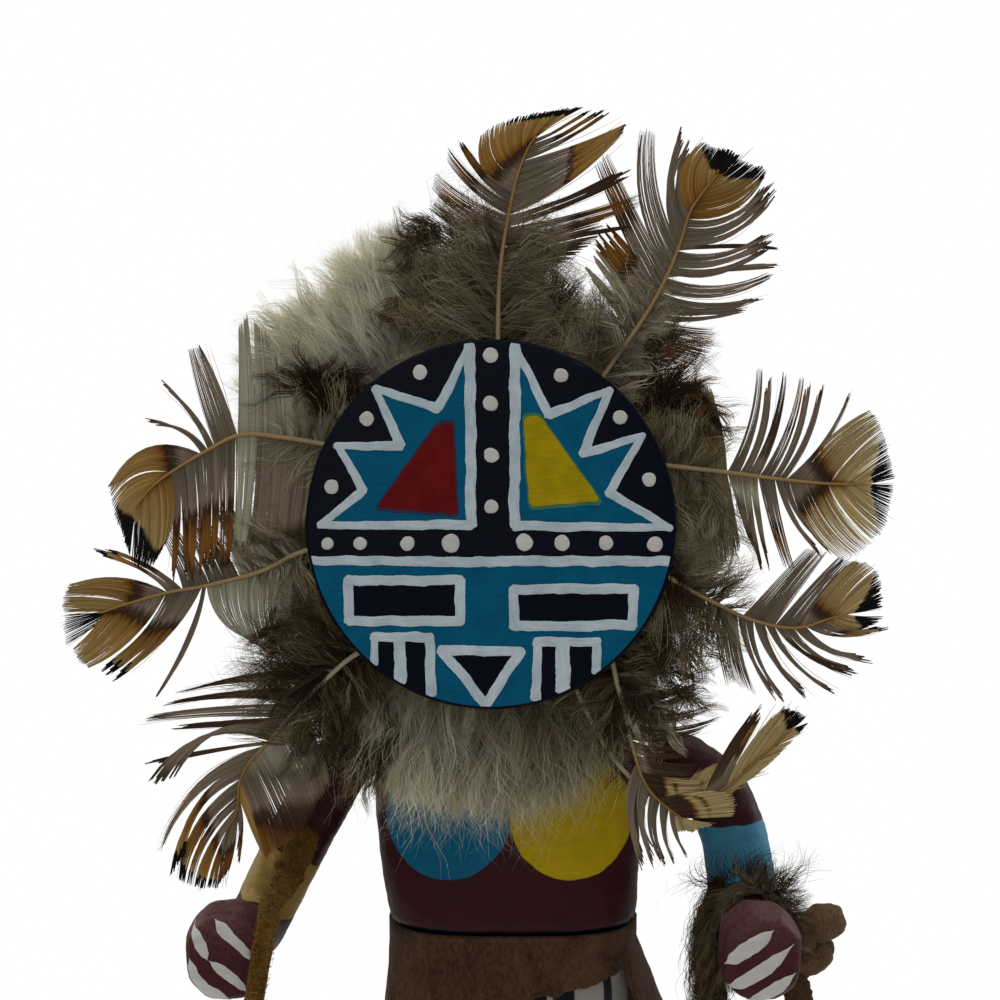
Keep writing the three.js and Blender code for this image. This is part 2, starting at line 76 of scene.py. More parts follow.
class Field:
    """A value that changes over a surface, combined with ordinary operators."""

    def __init__(self, shade: Shade, socket: Socket) -> None:
        """Wraps one output socket.

        Args:
            shade: The material that the socket belongs to.
            socket: The socket to read.
        """
        self.shade = shade
        self.socket = socket

    def _with(self, operation: str, *others: Field | float, first: Field | float | None = None) -> Field:
        """Adds one Math node.

        Args:
            operation: The Math node's operation.
            others: The inputs after the first.
            first: The first input, when it isn't this field.

        Returns:
            The node's value.
        """
        values = [self if first is None else first, *others]
        node = self.shade.node("ShaderNodeMath", {"operation": operation}, dict(enumerate(values)))
        return Field(self.shade, node.outputs[0])

    def __add__(self, other: Field | float) -> Field:
        """Returns the sum."""
        return self._with("ADD", other)

    __radd__ = __add__

    def __mul__(self, other: Field | float) -> Field:
        """Returns the product."""
        return self._with("MULTIPLY", other)

    __rmul__ = __mul__

    def __sub__(self, other: Field | float) -> Field:
        """Returns the difference."""
        return self._with("SUBTRACT", other)

    def __rsub__(self, other: Field | float) -> Field:
        """Returns the difference, reflected."""
        return self._with("SUBTRACT", self, first=other)

    def __pow__(self, other: Field | float) -> Field:
        """Returns the power."""
        return self._with("POWER", other)

    def __abs__(self) -> Field:
        """Returns the size without its sign."""
        return self._with("ABSOLUTE")

    def most(self, other: Field | float) -> Field:
        """Returns the larger of the two."""
        return self._with("MAXIMUM", other)

    def sine(self) -> Field:
        """Returns the sine of an angle in radians."""
        return self._with("SINE")

    def rise(self, low: float, high: float) -> Field:
        """Returns a smooth step.

        Args:
            low: Where the result is 0.
            high: Where the result is 1; it may be less than low.

        Returns:
            The step, from 0 to 1.
        """
        backwards = high < low
        ends = (high, low) if backwards else (low, high)
        goes = (1.0, 0.0) if backwards else (0.0, 1.0)
        inputs = {0: self, 1: ends[0], 2: ends[1], 3: goes[0], 4: goes[1]}
        node = self.shade.node("ShaderNodeMapRange", {"interpolation_type": "SMOOTHSTEP"}, inputs)
        return Field(self.shade, node.outputs[0])


class Shade:
    """One node material around a Principled shader."""

    def __init__(self, name: str, **fixed: float | Colour) -> None:
        """Starts a material.

        Args:
            name: The material's name.
            fixed: Values set on the shader's own sockets, by name with _ for spaces.
        """
        self.material = bpy.data.materials.new(name)
        self.material.use_nodes = True
        self.tree = self.material.node_tree
        self.tree.nodes.clear()
        output = self.node("ShaderNodeOutputMaterial")
        self.surface = self.node("ShaderNodeBsdfPrincipled")
        for key, value in fixed.items():
            socket = self.surface.inputs[key.replace("_", " ")]
            socket.default_value = (*value, 1.0) if isinstance(value, tuple) and len(value) == 3 else value
        self.tree.links.new(self.surface.outputs[0], output.inputs[0])

    def node(self, kind: str, settings: dict | None = None, inputs: dict | None = None) -> bpy.types.Node:
        """Adds one node.

        Args:
            kind: The node's type.
            settings: Its properties; "stops" fills a colour ramp.
            inputs: A value, colour, field or socket for each input, by number or name.

        Returns:
            The node.
        """
        node = self.tree.nodes.new(kind)
        for key, value in (settings or {}).items():
            if key == "stops":
                while len(node.color_ramp.elements) < len(value):
                    node.color_ramp.elements.new(1.0)
                for element, (place, colour) in zip(node.color_ramp.elements, value):
                    element.position, element.color = place, (*colour, 1.0)
            else:
                setattr(node, key, value)
        for key, value in (inputs or {}).items():
            value = value.socket if isinstance(value, Field) else value
            if isinstance(value, Socket):
                self.tree.links.new(value, node.inputs[key])
            elif isinstance(value, tuple) and len(value) == 3 and node.inputs[key].type == "RGBA":
                node.inputs[key].default_value = (*value, 1.0)
            else:
                node.inputs[key].default_value = value
        return node

    def place(self) -> tuple[Field, Field, Field]:
        """Returns the surface point's x, y and z in millimetres.

        Returns:
            The x, y and z.
        """
        point = self.node("ShaderNodeTexCoord").outputs["Object"]
        parts = self.node("ShaderNodeSeparateXYZ", None, {0: point})
        x, y, z = (Field(self, parts.outputs[i]) * (1 / MM) for i in range(3))
        return x, y, z

    def strand(self) -> tuple[Field, Field]:
        """Returns a strand's own two coordinates.

        Returns:
            How dark or which tone, and how far along or how light.
        """
        point = self.node("ShaderNodeUVMap", {"uv_map": STRAND_MAP}).outputs[0]
        parts = self.node("ShaderNodeSeparateXYZ", None, {0: point})
        return Field(self, parts.outputs[0]), Field(self, parts.outputs[1])

    def noise(
        self,
        size_mm: float,
        stretch: Colour = (1.0, 1.0, 1.0),
        detail: float = 3.0,
        rough: float = 0.55,
        swirl: float = 0.0,
    ) -> Field:
        """Adds a noise in object space.

        Args:
            size_mm: The size of its largest blotches.
            stretch: How much closer it is packed along each axis.
            detail: The number of finer layers.
            rough: The strength of the finer layers.
            swirl: How far it is distorted.

        Returns:
            The noise, about 0 to 1 round 0.5.
        """
        point = self.node("ShaderNodeTexCoord").outputs["Object"]
        scaled = self.node("ShaderNodeVectorMath", {"operation": "MULTIPLY"}, {0: point, 1: stretch})
        inputs = {
            "Vector": scaled.outputs[0],
            "Scale": 1 / (size_mm * MM),
            "Detail": detail,
            "Roughness": rough,
            "Distortion": swirl,
        }
        return Field(self, self.node("ShaderNodeTexNoise", None, inputs).outputs[0])

    def mix(self, share: Field | float, low: object, high: object) -> Socket:
        """Mixes two colours.

        Args:
            share: 0 gives low and 1 gives high.
            low: A colour or a colour socket.
            high: A colour or a colour socket.

        Returns:
            The mixed colour.
        """
        node = self.node("ShaderNodeMix", {"data_type": "RGBA"}, {0: share, 6: low, 7: high})
        return node.outputs[2]

    def scale(self, colour: object, amount: Field | float) -> Socket:
        """Multiplies a colour by a number.

        Args:
            colour: The colour.
            amount: The number.

        Returns:
            The scaled colour.
        """
        inputs = {0: colour, "Scale": amount}
        return self.node("ShaderNodeVectorMath", {"operation": "SCALE"}, inputs).outputs[0]

    def ramp(self, value: Field, stops: Sequence[tuple[float, Colour]]) -> Socket:
        """Turns a number into a colour.

        Args:
            value: The number, from 0 to 1.
            stops: Places and colours in order.

        Returns:
            The colour.
        """
        return self.node("ShaderNodeValToRGB", {"stops": stops}, {0: value}).outputs[0]

    def set(self, **links: object) -> None:
        """Feeds the shader's varying inputs, by name with _ for spaces.

        Args:
            links: The field or socket for each input.
        """
        for key, value in links.items():
            socket = value.socket if isinstance(value, Field) else value
            self.tree.links.new(socket, self.surface.inputs[key.replace("_", " ")])

    def bump(self, height: Field, depth_mm: float) -> None:
        """Roughens the surface.

        Args:
            height: The relief, from 0 to 1.
            depth_mm: How deep the relief is.
        """
        inputs = {"Strength": 1.0, "Distance": depth_mm * MM, "Height": height}
        self.set(Normal=self.node("ShaderNodeBump", None, inputs).outputs[0])


# --- colours and finishes ---


class Pigment(Enum):
    """The pots of paint on the figure."""

    TURQUOISE = (0.001, 0.092, 0.175)
    NIGHT = (0.0022, 0.0036, 0.009)
    WHITE = (0.5, 0.56, 0.585)
    CHALK = (0.56, 0.54, 0.51)
    RED = (0.135, 0.0055, 0.006)
    YELLOW = (0.38, 0.265, 0.003)
    PLUM = (0.03, 0.035, 0.075)
    MOSS = (0.05, 0.17, 0.09)
    MAROON = (0.034, 0.0065, 0.008)
    SKY = (0.055, 0.24, 0.36)
    OCHRE = (0.3, 0.2, 0.05)
    RUST = (0.12, 0.03, 0.02)


@dataclass(frozen=True)
class Paint:
    """Hand-brushed acrylic paint on carved wood."""

    pigment: Pigment
    gloss: float = 0.42
    streak: Colour = (0.25, 1.0, 1.0)

    def colour(self, shade: Shade) -> Socket:
        """Returns the paint's colour, uneven as a brush leaves it.

        Args:
            shade: The material to build it in.

        Returns:
            The colour.
        """
        brush = shade.noise(1.6, self.streak, detail=4)
        cloud = shade.noise(9, detail=2)
        base = self.pigment.value
        light = tuple(min(1.0, c * 1.35 + 0.001) for c in base)
        dark = tuple(c * 0.62 for c in base)
        return shade.mix(brush * 0.6 + cloud * 0.4, dark, light)

    def material(self) -> Material:
        """Makes the paint as a material of its own.

        Returns:
            The material.
        """
        shade = Shade("paint_" + self.pigment.name.lower(), Specular_IOR_Level=0.05)
        brush = shade.noise(0.9, self.streak, detail=3)
        shade.set(Base_Color=self.colour(shade), Roughness=brush * 0.25 + self.gloss - 0.12)
        shade.bump(brush, 0.07)
        return shade.material

    def brushed(self) -> Material:
        """Makes the paint as a material streaked along each stroke of the brush.

        Returns:
            The material.
        """
        shade = Shade("brushed_" + self.pigment.name.lower(), Specular_IOR_Level=0.03)
        point = shade.node("ShaderNodeUVMap", {"uv_map": BRUSH_MAP}).outputs[0]
        stretched = shade.node("ShaderNodeVectorMath", {"operation": "MULTIPLY"}, {0: point, 1: (3.2, 0.22, 0.0)})
        inputs = {"Vector": stretched.outputs[0], "Scale": 1.0, "Detail": 4.0, "Roughness": 0.6}
        streak = Field(shade, shade.node("ShaderNodeTexNoise", None, inputs).outputs[0])
        cloud = shade.noise(4, detail=3)
        base = self.pigment.value
        thin = tuple(c * k for c, k in zip(base, (0.6, 0.72, 0.78)))
        full = tuple(min(1.0, c * 1.2 + 0.001) for c in base)
        share = (streak * 0.5 + cloud * 0.5).rise(0.2, 0.75)
        shade.set(Base_Color=shade.mix(share, thin, full), Roughness=streak * 0.25 + self.gloss - 0.12)
        shade.bump(streak, 0.05)
        return shade.material


@dataclass(frozen=True)
class TurnedWood:
    """Stained, turned wood with growth rings."""

    light: Colour = (0.36, 0.2, 0.09)
    dark: Colour = (0.15, 0.07, 0.028)

    def material(self) -> Material:
        """Makes the wood.

        Returns:
            The material.
        """
        shade = Shade("turned_wood", Specular_IOR_Level=0.4)
        _, y, z = shade.place()
        wander = shade.noise(30, (0.3, 1.0, 1.0), detail=2)
        rings = ((y * 0.9 + z * 0.5 + wander * 16) * 1.1).sine() * 0.5 + 0.5
        pores = shade.noise(0.8, (0.07, 1.0, 1.0), detail=3)
        grain = rings * 0.55 + pores * 0.45
        shade.set(Base_Color=shade.mix(grain, self.dark, self.light), Roughness=pores * 0.2 + 0.34)
        shade.bump(pores * 0.6 + rings * 0.4, 0.06)
        return shade.material


@dataclass(frozen=True)
class Suede:
    """Napped leather: blotchy, matt and a little hairy."""

    name: str
    light: Colour
    dark: Colour
    grain_mm: float = 0.7

    def material(self) -> Material:
        """Makes the suede.

        Returns:
            The material.
        """
        shade = Shade(self.name, Specular_IOR_Level=0.05, Sheen_Weight=0.04, Sheen_Roughness=0.6)
        nap = shade.noise(self.grain_mm, (1.0, 1.0, 0.55), detail=5, rough=0.7)
        brushed = shade.noise(7, (1.0, 1.0, 0.5), detail=3, swirl=0.6)
        worn = nap.rise(0.3, 0.72) * 0.6 + brushed.rise(0.3, 0.7) * 0.4
        shade.set(Base_Color=shade.mix(worn, self.dark, self.light), Roughness=nap * 0.15 + 0.8)
        shade.bump(nap * 0.75 + brushed * 0.25, 0.35)
        return shade.material


@dataclass(frozen=True)
class Strands:
    """Hairs whose tint runs from pale (0) to dark (1) and whose roots are shaded."""

    name: str
    tints: tuple[tuple[float, Colour], ...]
    root_shade: float = 0.35
    roughness: float = 0.62
    ends: Colour | None = None

    def material(self) -> Material:
        """Makes the hairs' finish.

        Returns:
            The material.
        """
        shade = Shade(self.name, Specular_IOR_Level=0.04, Roughness=self.roughness)
        tint, along = shade.strand()
        colour = shade.ramp(tint, self.tints)
        if self.ends is not None:
            colour = shade.mix(along.rise(0.45, 0.95) * 0.75, colour, self.ends)
        shade.set(Base_Color=shade.scale(colour, along.rise(0.0, 0.75) * (1 - self.root_shade) + self.root_shade))
        return shade.material


RABBIT = Strands(
    "rabbit_fur",
    (
        (0.0, (0.9, 0.86, 0.66)),
        (0.22, (0.6, 0.56, 0.4)),
        (0.45, (0.36, 0.305, 0.185)),
        (0.65, (0.19, 0.145, 0.078)),
        (0.85, (0.062, 0.036, 0.016)),
        (1.0, (0.028, 0.013, 0.006)),
    ),
)


RUDDY_DOWN = Strands("ruddy_down", RABBIT.tints, ends=(0.2, 0.085, 0.022))


def tinted(tint: float) -> Colour:
    """Returns the fur's colour for a tint.

    Args:
        tint: From 0 (pale) to 1 (dark).

    Returns:
        The colour.
    """
    places, colours = zip(*RABBIT.tints)
    return tuple(float(np.interp(tint, places, [c[i] for c in colours])) for i in range(3))


# --- meshes ---


def joined(*parts: Array | float) -> Array:
    """Joins coordinates into points, in a new last axis."""
    return np.stack(np.broadcast_arrays(*parts), -1)


def circle(count: int) -> Array:
    """Returns evenly spaced angles once round."""
    return np.linspace(0, 2 * math.pi, count, endpoint=False)


def unit(vectors: Array) -> Array:
    """Returns the vectors at length 1."""
    return vectors / np.maximum(np.linalg.norm(vectors, axis=-1, keepdims=True), 1e-12)


def ripple(points: Array, size: float, seed: int, waves: int = 7) -> Array:
    """Makes a smooth noise from a few crossing waves.

    Args:
        points: Points, with the coordinates in the last axis.
        size: The size of its features, in the points' own unit.
        seed: The seed of the waves.
        waves: How many waves there are.

    Returns:
        One number a point, about -1 to 1.
    """
    rng = np.random.default_rng(seed)
    ways = unit(rng.normal(size=(waves, points.shape[-1]))) * rng.uniform(0.6, 1.7, (waves, 1))
    turns = points @ ways.T * (2 * math.pi / size) + rng.uniform(0, 2 * math.pi, waves)
    return np.sin(turns).sum(axis=-1) / math.sqrt(waves) * 0.8


def smooth(value: Array | float, low: float, high: float) -> Array:
    """Returns a smooth step from 0 at low to 1 at high."""
    share = np.clip((np.asarray(value, dtype=float) - low) / (high - low), 0, 1)
    return share * share * (3 - 2 * share)


@dataclass
class Draft:
    """Points and faces that become one piece."""

    points: list[Array] = field(default_factory=list)
    faces: list[Array] = field(default_factory=list)
    maps: list[Array] = field(default_factory=list)
    brushes: list[Array] = field(default_factory=list)
    slots: list[Array] = field(default_factory=list)
    count: int = 0

    def add(
        self, points: Array, faces: Array, corners: Array | None = None, slot: int = 0, brush: Array | None = None
    ) -> None:
        """Adds points and faces of one kind.

        Args:
            points: The points, in metres, in any grid.
            faces: One row of point numbers a face.
            corners: Map coordinates for each corner of each face, if the piece has a map.
            slot: The number of the faces' material.
            brush: The place across and along the brush's way at each corner, in millimetres.
        """
        points = np.asarray(points, dtype=float).reshape(-1, 3)
        faces = np.asarray(faces, dtype=int)
        self.points.append(points)
        self.faces.append(faces + self.count)
        if corners is not None:
            self.maps.append(np.asarray(corners, dtype=float).reshape(-1, 2))
        if brush is not None:
            self.brushes.append(np.asarray(brush, dtype=float).reshape(-1, 2))
        self.slots.append(np.full(len(faces), slot))
        self.count += len(points)

    def piece(self, name: str, materials: Iterable[Material]) -> Piece:
        """Makes the object.

        Args:
            name: The object's name.
            materials: Its materials, in the order of the faces' slot numbers.

        Returns:
            The object, which rides on the doll.
        """
        mesh = bpy.data.meshes.new(name)
        points = np.concatenate(self.points)
        sizes = np.concatenate([np.full(len(rows), rows.shape[1]) for rows in self.faces])
        loops = np.concatenate([rows.ravel() for rows in self.faces])
        mesh.vertices.add(len(points))
        mesh.vertices.foreach_set("co", points.ravel())
        mesh.loops.add(len(loops))
        mesh.loops.foreach_set("vertex_index", loops.astype(np.int32))
        mesh.polygons.add(len(sizes))
        starts = np.concatenate([[0], np.cumsum(sizes)[:-1]])
        mesh.polygons.foreach_set("loop_start", starts.astype(np.int32))
        mesh.polygons.foreach_set("material_index", np.concatenate(self.slots).astype(np.int32))
        for map_name, rows in ((STRAND_MAP, self.maps), (BRUSH_MAP, self.brushes)):
            if rows:
                layer = mesh.uv_layers.new(name=map_name)
                layer.data.foreach_set("uv", np.concatenate(rows).astype(np.float32).ravel())
        mesh.update(calc_edges=True)
        mesh.validate()
        mesh.polygons.foreach_set("use_smooth", np.ones(len(mesh.polygons), dtype=bool))
        for material in materials:
            mesh.materials.append(material)
        return placed(bpy.data.objects.new(name, mesh))


def placed(piece: Piece) -> Piece:
    """Links a piece into the scene and makes it ride on the doll.

    Args:
        piece: The new object.

    Returns:
        The same object.
    """
    bpy.context.scene.collection.objects.link(piece)
    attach(piece, ROOT)
    return piece


def sheet_faces(rows: int, columns: int, ring: bool = False, tube: bool = False) -> Array:
    """Joins a grid of points into quads.

    Args:
        rows: The number of rows.
        columns: The number of points in a row.
        ring: Whether the last row joins the first.
        tube: Whether the last column joins the first.

    Returns:
        Four point numbers a face.
    """
    row = np.arange(rows if ring else rows - 1)[:, None]
    column = np.arange(columns if tube else columns - 1)[None, :]
    below, after = (row + 1) % rows, (column + 1) % columns
    corners = [row * columns + column, row * columns + after, below * columns + after, below * columns + column]
    return np.stack([np.broadcast_to(c, (len(row), column.shape[1])) for c in corners], axis=-1).reshape(-1, 4)


def mapped(*corners: tuple[Array | float, Array | float]) -> Array:
    """Returns each face's map coordinates, from the two coordinates of each of its four corners."""
    return np.stack([joined(*pair) for pair in corners], axis=-2)


def ribbons(draft: Draft, paths: Array, widths: Array, across: Array, corners: Array) -> None:
    """Adds many flat strands to a draft.

    Args:
        draft: The draft to fill.
        paths: Strands x steps x 3 points, in metres.
        widths: Strands x steps widths, in metres.
        across: The directions across each strand, strands x steps x 3 or strands x 1 x 3.
        corners: The faces' map coordinates, strands x (steps - 1) x 4 x 2.
    """
    count, steps = widths.shape
    offset = across * widths[..., None] * 0.5
    points = np.stack([paths - offset, paths + offset], axis=2)
    faces = sheet_faces(steps, 2) + np.arange(count)[:, None, None] * steps * 2
    draft.add(points, faces.reshape(-1, 4), corners)


def tapered(steps: int, count: int, width: float, tip: float = 0.15, rng: np.random.Generator | None = None) -> Array:
    """Returns widths that narrow towards a strand's tip.

    Args:
        steps: The points along a strand.
        count: The number of strands.
        width: The widest width.
        tip: The tip's share of it.
        rng: Varies the strands' widths, if given.

    Returns:
        Strands x steps widths.
    """
    share = np.linspace(0, 1, steps)
    profile = (1 - share**1.6) * (1 - tip) + tip
    scale = rng.uniform(0.7, 1.3, (count, 1)) if rng is not None else np.ones((count, 1))
    return width * profile[None, :] * scale


def remeshed(node: str, name: str, voxel: float, rounds: int) -> Piece:
    """Copies a CAD solid into an evenly meshed, softly worn piece that replaces it.

    Args:
        node: The CAD node.
        name: The new piece's name.
        voxel: The size of its faces, in metres.
        rounds: How many times its edges are softened.

    Returns:
        The piece.
    """
    rough = bpy.data.objects.new(name + "_rough", bpy.data.objects[node].data.copy())
    bpy.context.scene.collection.objects.link(rough)
    remesh = rough.modifiers.new("remesh", "REMESH")
    remesh.mode, remesh.voxel_size = "VOXEL", voxel
    soften = rough.modifiers.new("soften", "SMOOTH")
    soften.factor, soften.iterations = 0.5, rounds
    graph = bpy.context.evaluated_depsgraph_get()
    mesh = bpy.data.meshes.new_from_object(rough.evaluated_get(graph))
    bpy.data.objects.remove(rough)
    mesh.name = name
    mesh.materials.clear()
    mesh.polygons.foreach_set("use_smooth", np.ones(len(mesh.polygons), dtype=bool))
    return placed(bpy.data.objects.new(name, mesh))


def moved(piece: Piece, shift: Callable[[Array, Array], Array]) -> None:
    """Moves a piece's points along its surface normals.

    Args:
        piece: The piece.
        shift: Takes the points in millimetres and the normals, and gives distances in millimetres.
    """
    mesh = piece.data
    points, normals = (np.empty(len(mesh.vertices) * 3) for _ in range(2))
    mesh.vertices.foreach_get("co", points)
    mesh.vertex_normals.foreach_get("vector", normals)
    points, normals = points.reshape(-1, 3), normals.reshape(-1, 3)
    points += normals * shift(points / MM, normals)[:, None] * MM
    mesh.vertices.foreach_set("co", points.ravel())
    mesh.update()


# --- the plane of the face ---


@dataclass(frozen=True)
class FacePlane:
    """The tilted plane that the face, ruff and feathers lie in: x right, z up, y away from the viewer."""

    x: float = -3.7
    y: float = -22.0
    z: float = 201.8
    tilt: float = math.radians(-6.1)
    disc_radius: float = 35.7
    disc_right: float = 0.35
    disc_down: float = 0.55
    hair_margin: float = 0.5
    hair_back: float = 0.3
    hair_front: float = -9.0

    def world(self, x: Array, y: Array, z: Array) -> Array:
        """Turns millimetres in the plane into metres in the frame.

        Args:
            x: To the right of the face's middle.
            y: Behind the face's back.
            z: Above the face's middle.

        Returns:
            The points.
        """
        x, y, z = np.broadcast_arrays(np.asarray(x, float), np.asarray(y, float), np.asarray(z, float))
        cos, sin = math.cos(self.tilt), math.sin(self.tilt)
        points = [x + self.x, y * cos - z * sin + self.y, y * sin + z * cos + self.z]
        return np.stack(points, axis=-1) * MM

    def way(self, x: Array, y: Array, z: Array) -> Array:
        """Turns directions in the plane into directions in the frame."""
        return (self.world(x, y, z) - self.world(0.0, 0.0, 0.0)) / MM

    def behind(self, points: Array) -> Array:
        """Moves points that would show in front of the face behind it.

        Args:
            points: Points in the frame, in millimetres.

        Returns:
            The moved points.
        """
        cos, sin = math.cos(self.tilt), math.sin(self.tilt)
        x, y, z = np.moveaxis(points - np.array([self.x, self.y, self.z]), -1, 0)
        back, up = y * cos + z * sin, z * cos - y * sin
        out = np.hypot(x - self.disc_right, up + self.disc_down)
        inside = (out < self.disc_radius + self.hair_margin) & (back > self.hair_front)
        return self.world(x, np.where(inside, np.maximum(back, self.hair_back), back), up) / MM


FACE = FacePlane()


# --- the wooden pieces ---


@dataclass
class Base:
    """The round base: a turned disc with a small bevel."""

    bevel: float = 2.0
    around: int = 160

    def build(self) -> Piece:
        """Makes the base.

        Returns:
            The piece.
        """
        low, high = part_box("base")
        radius, height = (high[0] - low[0]) / 2 / MM, high[2] / MM
        turn = np.linspace(0, math.pi / 2, 6)
        profile = [(0.01, 0.0), (radius * 0.5, 0.0)]
        profile += [(radius - self.bevel * (1 - math.sin(a)), self.bevel * (1 - math.cos(a))) for a in turn]
        profile += [
            (radius - self.bevel * (1 - math.cos(a)), height - self.bevel * (1 - math.sin(a))) for a in turn
        ]
        profile += [(radius * 0.6, height), (radius * 0.3, height), (0.01, height)]
        r, z = np.array(profile).T
        angle = circle(self.around)
        points = joined(np.outer(r, np.cos(angle)), np.outer(r, np.sin(angle)), z[:, None])
        draft = Draft()
        draft.add(points * MM, sheet_faces(len(r), self.around, tube=True)[:, ::-1])
        piece = draft.piece("turned_base", [TurnedWood().material()])
        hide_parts("base")
        return piece


@dataclass
class Figure:
    """The carved body and the two arms, painted by hand."""

    body_voxel: float = 0.0013
    arm_voxel: float = 0.0007
    disc_radius: float = 12.4
    disc_height: float = 141.6
    waist: float = 118.0
    boot_top: float = 44.0
    stroke_rows: int = 40
    stroke_columns: int = 9
    stroke_width: float = 0.88
    stroke_edge: float = 0.05
    stroke_height: float = 0.16
    # in metres: where the search for the fist's surface starts, and the fist's front and back
    in_front: float = -0.08
    fist_front: float = -0.042
    fist_back: float = -0.024
    # each stroke's points: x, z and half its width
    left_strokes: Lines = (
        ((-55.3, 128.6, 1.5), (-52.7, 125.7, 1.2), (-50.5, 123.7, 1.0), (-47.9, 120.6, 0.8)),
        ((-59.6, 127.2, 0.9), (-58.1, 124.0, 1.3), (-56.7, 121.0, 0.7)),
        ((-56.5, 121.0, 0.6), (-54.0, 119.0, 1.2), (-51.5, 117.0, 1.1), (-49.0, 114.4, 0.6)),
        ((-60.2, 121.2, 0.9), (-59.4, 117.8, 1.2), (-57.2, 115.2, 1.4), (-52.6, 113.0, 1.3)),
    )
    right_strokes: Lines = (
        ((41.0, 119.8, 1.0), (44.2, 122.6, 1.7), (47.0, 124.4, 1.6), (50.0, 126.8, 0.9)),
        ((41.4, 114.9, 1.0), (45.0, 117.2, 1.5), (48.6, 119.4, 1.6), (53.8, 124.0, 0.6)),
        ((45.0, 112.0, 0.9), (48.2, 113.9, 1.4), (51.2, 115.8, 1.5), (54.2, 118.4, 0.6)),
    )

    def body_material(self) -> Material:
        """Paints the body: maroon, with the chest's two discs, a near-black band along the suede's top edge, and boots.

        Returns:
            The material.
        """
        shade = Shade("body_paint", Specular_IOR_Level=0.09)
        x, y, z = shade.place()
        wobble = (shade.noise(5, detail=1) - 0.5) * 0.9
        colour = Paint(Pigment.MAROON).colour(shade)
        front = y.rise(-4.0, -8.0)
        for pigment, centre in ((Pigment.TURQUOISE, -12.2), (Pigment.YELLOW, 12.8)):
            reach = ((x - centre) ** 2.0 + (z - self.disc_height) ** 2.0) ** 0.5 + wobble
            inside = reach.rise(self.disc_radius + 0.15, self.disc_radius - 0.15) * front
            colour = shade.mix(inside, colour, Paint(pigment).colour(shade))
        height = z + wobble * 0.6
        # A near-black band round the body, from just under 3 mm below the waist height to under 1 mm above it. Only its
        # top shows, right along the suede's top edge.
        line = (height - self.waist).rise(0.9, 0.6) * (height - self.waist).rise(-3.0, -2.7)
        colour = shade.mix(line, colour, Pigment.NIGHT.value)
        boots = height.rise(self.boot_top, self.boot_top - 0.3)
        colour = shade.mix(boots, colour, Paint(Pigment.TURQUOISE).colour(shade))
        for centre, half in ((43.5, 1.2), (31.0, 0.9)):
            band = abs(height - centre).rise(half + 0.15, half - 0.15)
            colour = shade.mix(band, colour, Pigment.WHITE.value)
        foot = (height + y * 0.35).rise(22.2, 21.8)
        colour = shade.mix(foot, colour, Paint(Pigment.RUST).colour(shade))
        brush = shade.noise(1.1, (1.0, 1.0, 0.3), detail=3)
        grain = shade.noise(0.7, (1.0, 1.0, 0.06), detail=2)
        shade.set(Base_Color=colour, Roughness=brush * 0.22 + 0.3)
        shade.bump(brush * 0.6 + grain * 0.4, 0.1)
        return shade.material

    def arm_material(self, name: str, pigment: Pigment, band: tuple[float, float], lean: float) -> Material:
        """Returns an arm's paint: maroon with one band.

        Args:
            name: The material's name.
            pigment: The band's paint.
            band: The band's lowest and highest point along the upper arm.
            lean: How much the band's edges rise across the arm.

        Returns:
            The material.
        """
        shade = Shade(name, Specular_IOR_Level=0.12)
        x, y, z = shade.place()
        wobble = (shade.noise(3, detail=1) - 0.5) * 0.8
        height = z + x * lean + wobble
        upper = y.rise(-14.6, -14.0)
        inside = height.rise(band[0] - 0.2, band[0] + 0.2) * height.rise(band[1] + 0.2, band[1] - 0.2) * upper
        colour = shade.mix(inside, Paint(Pigment.MAROON).colour(shade), Paint(pigment).colour(shade))
        ring = abs(y + 16.4 + wobble * 0.4).rise(0.9, 0.5)
        colour = shade.mix(ring, colour, Pigment.NIGHT.value)
        fist = y.rise(-17.5, -19.0)
        fresh = shade.noise(0.6, (1.0, 0.4, 1.0), detail=4)
        colour = shade.mix(fist, colour, shade.mix(fresh, (0.038, 0.0065, 0.0085), (0.075, 0.016, 0.017)))
        # Painted light and dust: the fist turns towards a pale greyish pink in blotches, more the higher up it is. This
        # stands in for the light falling on its top as well as for dust.
        dust_and_top_light = fist * fresh.rise(0.1, 0.9) * z.rise(118.0, 131.0) * 0.55
        colour = shade.mix(dust_and_top_light, colour, (0.15, 0.088, 0.078))
        brush = shade.noise(0.9, (1.0, 0.35, 1.0), detail=3)
        shade.set(Base_Color=colour, Roughness=brush * 0.2 + 0.36)
        shade.bump(brush, 0.1)
        return shade.material

